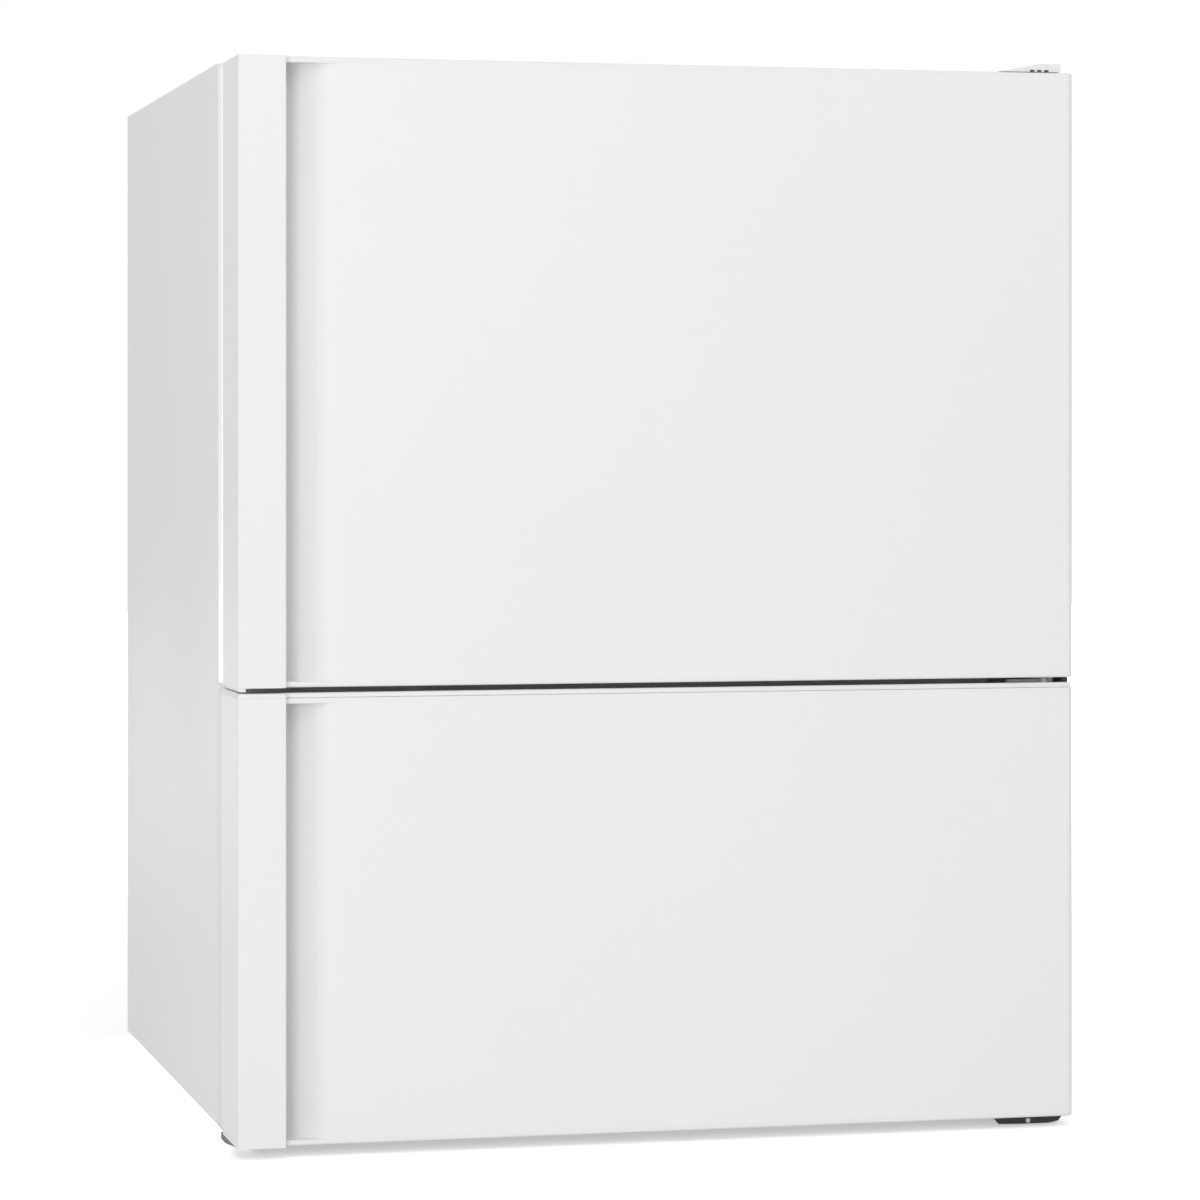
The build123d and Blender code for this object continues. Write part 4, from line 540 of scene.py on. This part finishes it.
# Screw plug: a button moulded in white ABS and pressed into its recess in the side of the
# upper strip. Its shallow dome is the only thing on that side that catches the light.
def loft(shape, rings):
    """Skin a row of rings of points, each with the same number, and close both ends."""
    rows = [[shape.verts.new(point) for point in ring] for ring in rings]
    for near, far in zip(rows, rows[1:]):
        for i in range(len(near)):
            shape.faces.new((near[i - 1], near[i], far[i], far[i - 1]))
    shape.faces.new(rows[0])
    shape.faces.new(rows[-1])


def turned(shape, centre, axis, profile, sides=32):
    """Turn steps of (radius, height, radius between four arms if any) about an axis."""
    axis = Vector(axis)
    across = axis.orthogonal().normalized()
    other = axis.cross(across)
    rings = []
    for radius, height, *waist in profile:
        ring = []
        for i in range(sides):
            turn = 2 * math.pi * i / sides
            reach = waist[0] if waist and i % (sides // 4) else radius
            spoke = (across * math.cos(turn) + other * math.sin(turn)) * reach
            ring.append(Vector(centre) + axis * height + spoke)
        rings.append(ring)
    loft(shape, rings)


def add_piece(name, shape, body, material, soft_edge=0.0):
    """A shown piece that moves with a body, from a shape drawn in millimetres."""
    bmesh.ops.recalc_face_normals(shape, faces=shape.faces)
    bmesh.ops.scale(shape, vec=(0.001, 0.001, 0.001), verts=shape.verts)
    mesh = bpy.data.meshes.new(name)
    shape.to_mesh(mesh)
    shape.free()
    mesh.shade_smooth()
    mesh.set_sharp_from_angle(angle=math.radians(35))
    mesh.materials.append(material)
    piece = bpy.data.objects.new(name, mesh)
    scene.collection.objects.link(piece)
    if soft_edge:
        bevel = piece.modifiers.new("soft_edge", "BEVEL")
        bevel.width = soft_edge / 1000
        bevel.segments = 3
        bevel.limit_method = "ANGLE"
    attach(piece, body)


plug = bmesh.new()
recess_floor = (-453.75, -388, 500)
turned(plug, recess_floor, (-1, 0, 0),
       [(4.8, 0.0), (4.8, 0.7), (4.3, 1.0), (2.6, 1.18), (0.3, 1.22)])
add_piece("strip_screw_plug", plug, "upper_door", moulded_abs)

# Lip of the lower door's top cap: the same ABS, raised 5 mm round the strip and along the
# front. It narrows the gap, and its rounded top is the bright line under it.
def run_edge(shape, outer, inner, section):
    """Run a section of (share of the way from outer to inner line, height) along two lines."""
    loft(shape, [[(a[0] + (b[0] - a[0]) * share, a[1] + (b[1] - a[1]) * share, z)
                  for share, z in section] for a, b in zip(outer, inner)])


lip = bmesh.new()
outer = ((-454.7, -333.0), (-454.7, -444.7), (-405.2, -444.7), (-405.2, -434.7),
         (448.0, -434.7), (452.5, -432.6))
inner = ((-450.5, -333.0), (-450.5, -440.5), (-409.4, -440.5), (-409.4, -430.5),
         (447.5, -430.5), (450.0, -430.5))
section = ((0.0, 474.6), (0.0, 476.8), (0.12, 478.3), (0.35, 479.3), (0.65, 479.6),
           (1.0, 479.0), (1.0, 474.6))
run_edge(lip, outer, inner, section)
add_piece("lower_door_cap_lip", lip, "lower_door", moulded_abs)

# End cap of the upper strip: ABS with a lip that drops 4 mm round the open end of the strip. It
# closes the gap on the handle side, where only a fine line is left.
hood = bmesh.new()
outer = ((-454.7, -333.0), (-454.7, -444.7), (-447.0, -444.7))
inner = ((-450.5, -333.0), (-450.5, -440.5), (-447.0, -440.5))
section = ((0.0, 484.9), (0.0, 482.6), (0.15, 481.6), (0.4, 481.1), (0.8, 481.1),
           (1.0, 481.5), (1.0, 484.9))
run_edge(hood, outer, inner, section)
add_piece("upper_strip_end_cap", hood, "upper_door", moulded_abs)

# Upper edge strip: aluminium, extruded, brightened and anodised, and clipped along the handle
# side of the liner. It mirrors the room as one bright line, with faint lines of the die in it.
bright_anodised, tree = start_finish("bright_anodised_aluminium")
place = add_node(tree, "TexCoord").outputs["Object"]
upright = add_node(tree, "Mapping", {"Vector": place, "Scale": (1.0, 1.0, 0.01)})
die_lines = add_node(tree, "TexNoise", {
    "Vector": upright.outputs[0], "Scale": per_metre(6.0), "Detail": 1.0})
tint = add_node(tree, "Mix", {
    "Factor": die_lines.outputs["Fac"],
    "A": linear("#F2F3F3"), "B": linear("#F8F8F7")}, data_type="RGBA")
shader = add_node(tree, "BsdfPrincipled", {
    "Base Color": tint.outputs["Result"], "Metallic": 1.0, "Roughness": 0.28})
add_node(tree, "OutputMaterial", {"Surface": shader.outputs[0]})
trim = bmesh.new()
plan = ((-453.2, -336.0), (-454.9, -335.0), (-454.9, -309.8), (-454.2, -308.8),
        (-453.2, -308.8))
foot, head = 485.2, 1133.4
loft(trim, [[(x, y, z) for x, y in plan] for z in (foot, head)])
add_piece("upper_edge_strip", trim, "upper_door", bright_anodised)

# Lower edge strip: white ABS like the caps, clipped to its liner in the same way. It is
# narrower, so it is a fine line between two dark ones.
trim = bmesh.new()
plan = ((-453.2, -333.0), (-454.9, -332.0), (-454.9, -316.0), (-454.2, -315.0),
        (-453.2, -315.0))
foot, head = 14.6, 474.4
loft(trim, [[(x, y, z) for x, y in plan] for z in (foot, head)])
add_piece("lower_edge_strip", trim, "lower_door", moulded_abs)

# Sleeve on the middle hinge: black nylon pushed over the plate's end, with a rounded nose. It
# fills the end of the gap, so that no light shows through there.
sleeve = bmesh.new()
nose_x, nose_y, nose_radius = 450.6, -415.6, 4.0
plan = [(446.0, -392.0), (446.0, -419.0)]
plan += [(nose_x + nose_radius * math.sin(math.radians(a)),
          nose_y - nose_radius * math.cos(math.radians(a))) for a in range(0, 91, 15)]
plan += [(454.6, -392.0)]
foot, head = 475.6, 483.9
loft(sleeve, [[(x, y, z) for x, y in plan] for z in (foot, head)])
add_piece("middle_hinge_sleeve", sleeve, "cabinet", black_nylon, soft_edge=0.8)

# Button on the middle hinge's front edge: moulded in white ABS, so that neither door rubs on
# the plate. It shows as a white spot in the gap.
button = bmesh.new()
button_foot = (431, -406.5, 476.6)
turned(button, button_foot, (0, 0, 1),
       [(3.0, 0.0), (4.2, 1.0), (4.2, 5.4), (3.4, 6.6), (1.5, 7.0)])
add_piece("middle_hinge_button", button, "cabinet", moulded_abs)

# Front lip of the bottom hinge plate: the same black steel, folded down towards the floor, and
# cut back at the ends. It hides the foot behind it.
fold = bmesh.new()
front = ((373.0, 8.8), (379.0, 1.6), (404.0, 1.0), (436.0, 1.0), (447.0, 3.0), (451.5, 8.8))
lip_front, lip_back = -408.4, -406.3
loft(fold, [[(x, y, z) for x, z in front] for y in (lip_front, lip_back)])
add_piece("bottom_hinge_lip", fold, "cabinet", black_coat, soft_edge=0.4)

# Nut on that lip: moulded in white ABS, with a cross recess for a screwdriver. It locks the
# plate after the door has been lined up.
nut = bmesh.new()
nut_seat = (412, lip_front, 4.6)
turned(nut, nut_seat, (0, -1, 0),
       [(2.6, 0.0), (2.6, 1.4), (2.1, 1.9), (1.6, 1.9, 0.4), (1.6, 1.2, 0.4)], sides=24)
add_piece("hinge_lock_nut", nut, "cabinet", moulded_abs)

# Arm of the left foot bracket: black steel that reaches forward under the closed door and
# tapers to its nose. The door passes over it as it swings.
arm = bmesh.new()
side = ((-318.0, 3.2), (-345.0, 3.2), (-372.0, 5.6), (-396.0, 8.2), (-414.0, 9.8),
        (-412.0, 10.8), (-318.0, 10.8))
arm_left, arm_right = -453.6, -440.0
loft(arm, [[(x, y, z) for y, z in side] for x in (arm_left, arm_right)])
add_piece("left_bracket_arm", arm, "cabinet", black_coat, soft_edge=0.6)

# Buffers under the hinge cover's front edge: three black rubber pads that keep the cover from
# rattling on its plate.
pads = bmesh.new()
front = ((-2.6, 1139.2), (2.6, 1139.2), (2.2, 1141.0), (-2.2, 1141.0))
pad_front, pad_back = -411.0, -409.8
for middle in (416.5, 424.5, 432.5):
    loft(pads, [[(middle + wide, y, z) for wide, z in front] for y in (pad_front, pad_back)])
add_piece("hinge_cover_buffers", pads, "cabinet", mount_rubber, soft_edge=0.3)

# Condenser wires: 1.6 mm steel wire, spot welded across both sides of the tube and dipped with
# it. They spread the tube's heat, and keep clear of the upright plates.
wires = bmesh.new()
first_wire, wire_pitch, wire_places = -355.0, 8.0, 36
upright_plates, clear_of_plate = (-325.0, -215.0, -105.0), 6.0
wire_radius, wire_foot, wire_length = 0.8, 29.0, 145.0
for step in range(wire_places):
    x = first_wire + wire_pitch * step
    if min(abs(x - plate) for plate in upright_plates) > clear_of_plate:
        for y in (357.15, 364.85):
            turned(wires, (x, y, wire_foot), (0, 0, 1),
                   [(wire_radius, 0.0), (wire_radius, wire_length)], sides=8)
add_piece("condenser_wires", wires, "cabinet", stove_enamel)

# Compressor's process tube: a copper stub through which it was filled, pinched flat and brazed
# shut at its end.
stub_x, stub_y, stub_radius = 200, 409, 2.5
knots = ((stub_x, 394, 124), (stub_x, stub_y, 134), (stub_x, stub_y, 162))
leans = ((0, 8, 0), (0, 1, 8), (0, 0, 8))
stub = bpy.data.curves.new("process_tube", "CURVE")
stub.dimensions = "3D"
stub.bevel_depth = stub_radius / 1000
stub.bevel_resolution = 5
stub.use_fill_caps = True
run = stub.splines.new("BEZIER")
run.bezier_points.add(2)
for knot, spot, lean in zip(run.bezier_points, knots, leans):
    knot.co = Vector(spot) / 1000
    knot.handle_left = (Vector(spot) - Vector(lean)) / 1000
    knot.handle_right = (Vector(spot) + Vector(lean)) / 1000
stub.materials.append(copper_tube)
process_tube = bpy.data.objects.new("process_tube", stub)
scene.collection.objects.link(process_tube)
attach(process_tube, "cabinet")
pinch = bmesh.new()
ovals = ((stub_radius, stub_radius, 161.6), (3.1, 1.3, 165.0), (3.4, 0.9, 168.0),
         (3.4, 0.9, 174.0))
loft(pinch, [[(stub_x + wide * math.cos(math.radians(a)),
               stub_y + thin * math.sin(math.radians(a)), z) for a in range(0, 360, 20)]
             for wide, thin, z in ovals])
add_piece("process_tube_pinch", pinch, "cabinet", copper_tube)

# Back panel's screws: zinc plated pan heads with a cross recess, driven into the folded edges
# of the sides, top and bay wall.
heads = bmesh.new()
panel_face = 444.02
spots = [(x, z) for x in (-440, 440) for z in (230, 450, 670, 890, 1110)]
spots += [(x, z) for x in (-300, -150, 0, 150, 300) for z in (219, 1126)]
for x, z in spots:
    turned(heads, (x, panel_face, z), (0, 1, 0),
           [(4.2, 0.0), (4.2, 0.25), (3.4, 0.6), (2.0, 0.86), (1.7, 0.88, 0.5),
            (1.3, 0.4, 0.35)], sides=24)
add_piece("back_panel_screws", heads, "cabinet", zinc_plate)

# Bin rails: white ABS pressed over the front edge of each door bin, which stiffens it. The
# rounded rail stands a little above the clear wall.
rails = bmesh.new()
section = ((-233.4, -11.0), (-227.4, -11.0), (-227.0, -9.5), (-227.0, 0.4), (-228.0, 1.6),
           (-230.2, 2.0), (-232.6, 1.6), (-233.6, 0.2), (-233.8, -9.5))
bin_tops, rail_ends = (674.75, 852.37, 1030.0), (-338.0, 338.0)
for top in bin_tops:
    loft(rails, [[(x, y, top + z) for y, z in section] for x in rail_ends])
add_piece("door_bin_rails", rails, "upper_door", moulded_abs, soft_edge=0.5)

# Pointer on the thermostat knob and its mark on the housing: black nylon, pressed into the
# white mouldings, so that the setting can be read.
pointer = bmesh.new()
knob_x, knob_z = 82.0, 1069.0
loft(pointer, [[(knob_x + wide, y, knob_z + high) for wide, high in
                ((-half, 2.0), (half, 2.0), (half * 0.7, 11.0), (0.0, 12.4), (-half * 0.7, 11.0))]
               for half, y in ((1.5, -49.2), (1.2, -50.1))])
add_piece("thermostat_pointer", pointer, "thermostat_knob", black_nylon)
mark = bmesh.new()
arrow = ((60.5, -1.6), (65.0, 0.0), (60.5, 1.6))
mark_back, mark_front = -36.9, -37.4
loft(mark, [[(x, y, knob_z + high) for x, high in arrow] for y in (mark_back, mark_front)])
add_piece("thermostat_mark", mark, "cabinet", black_nylon)
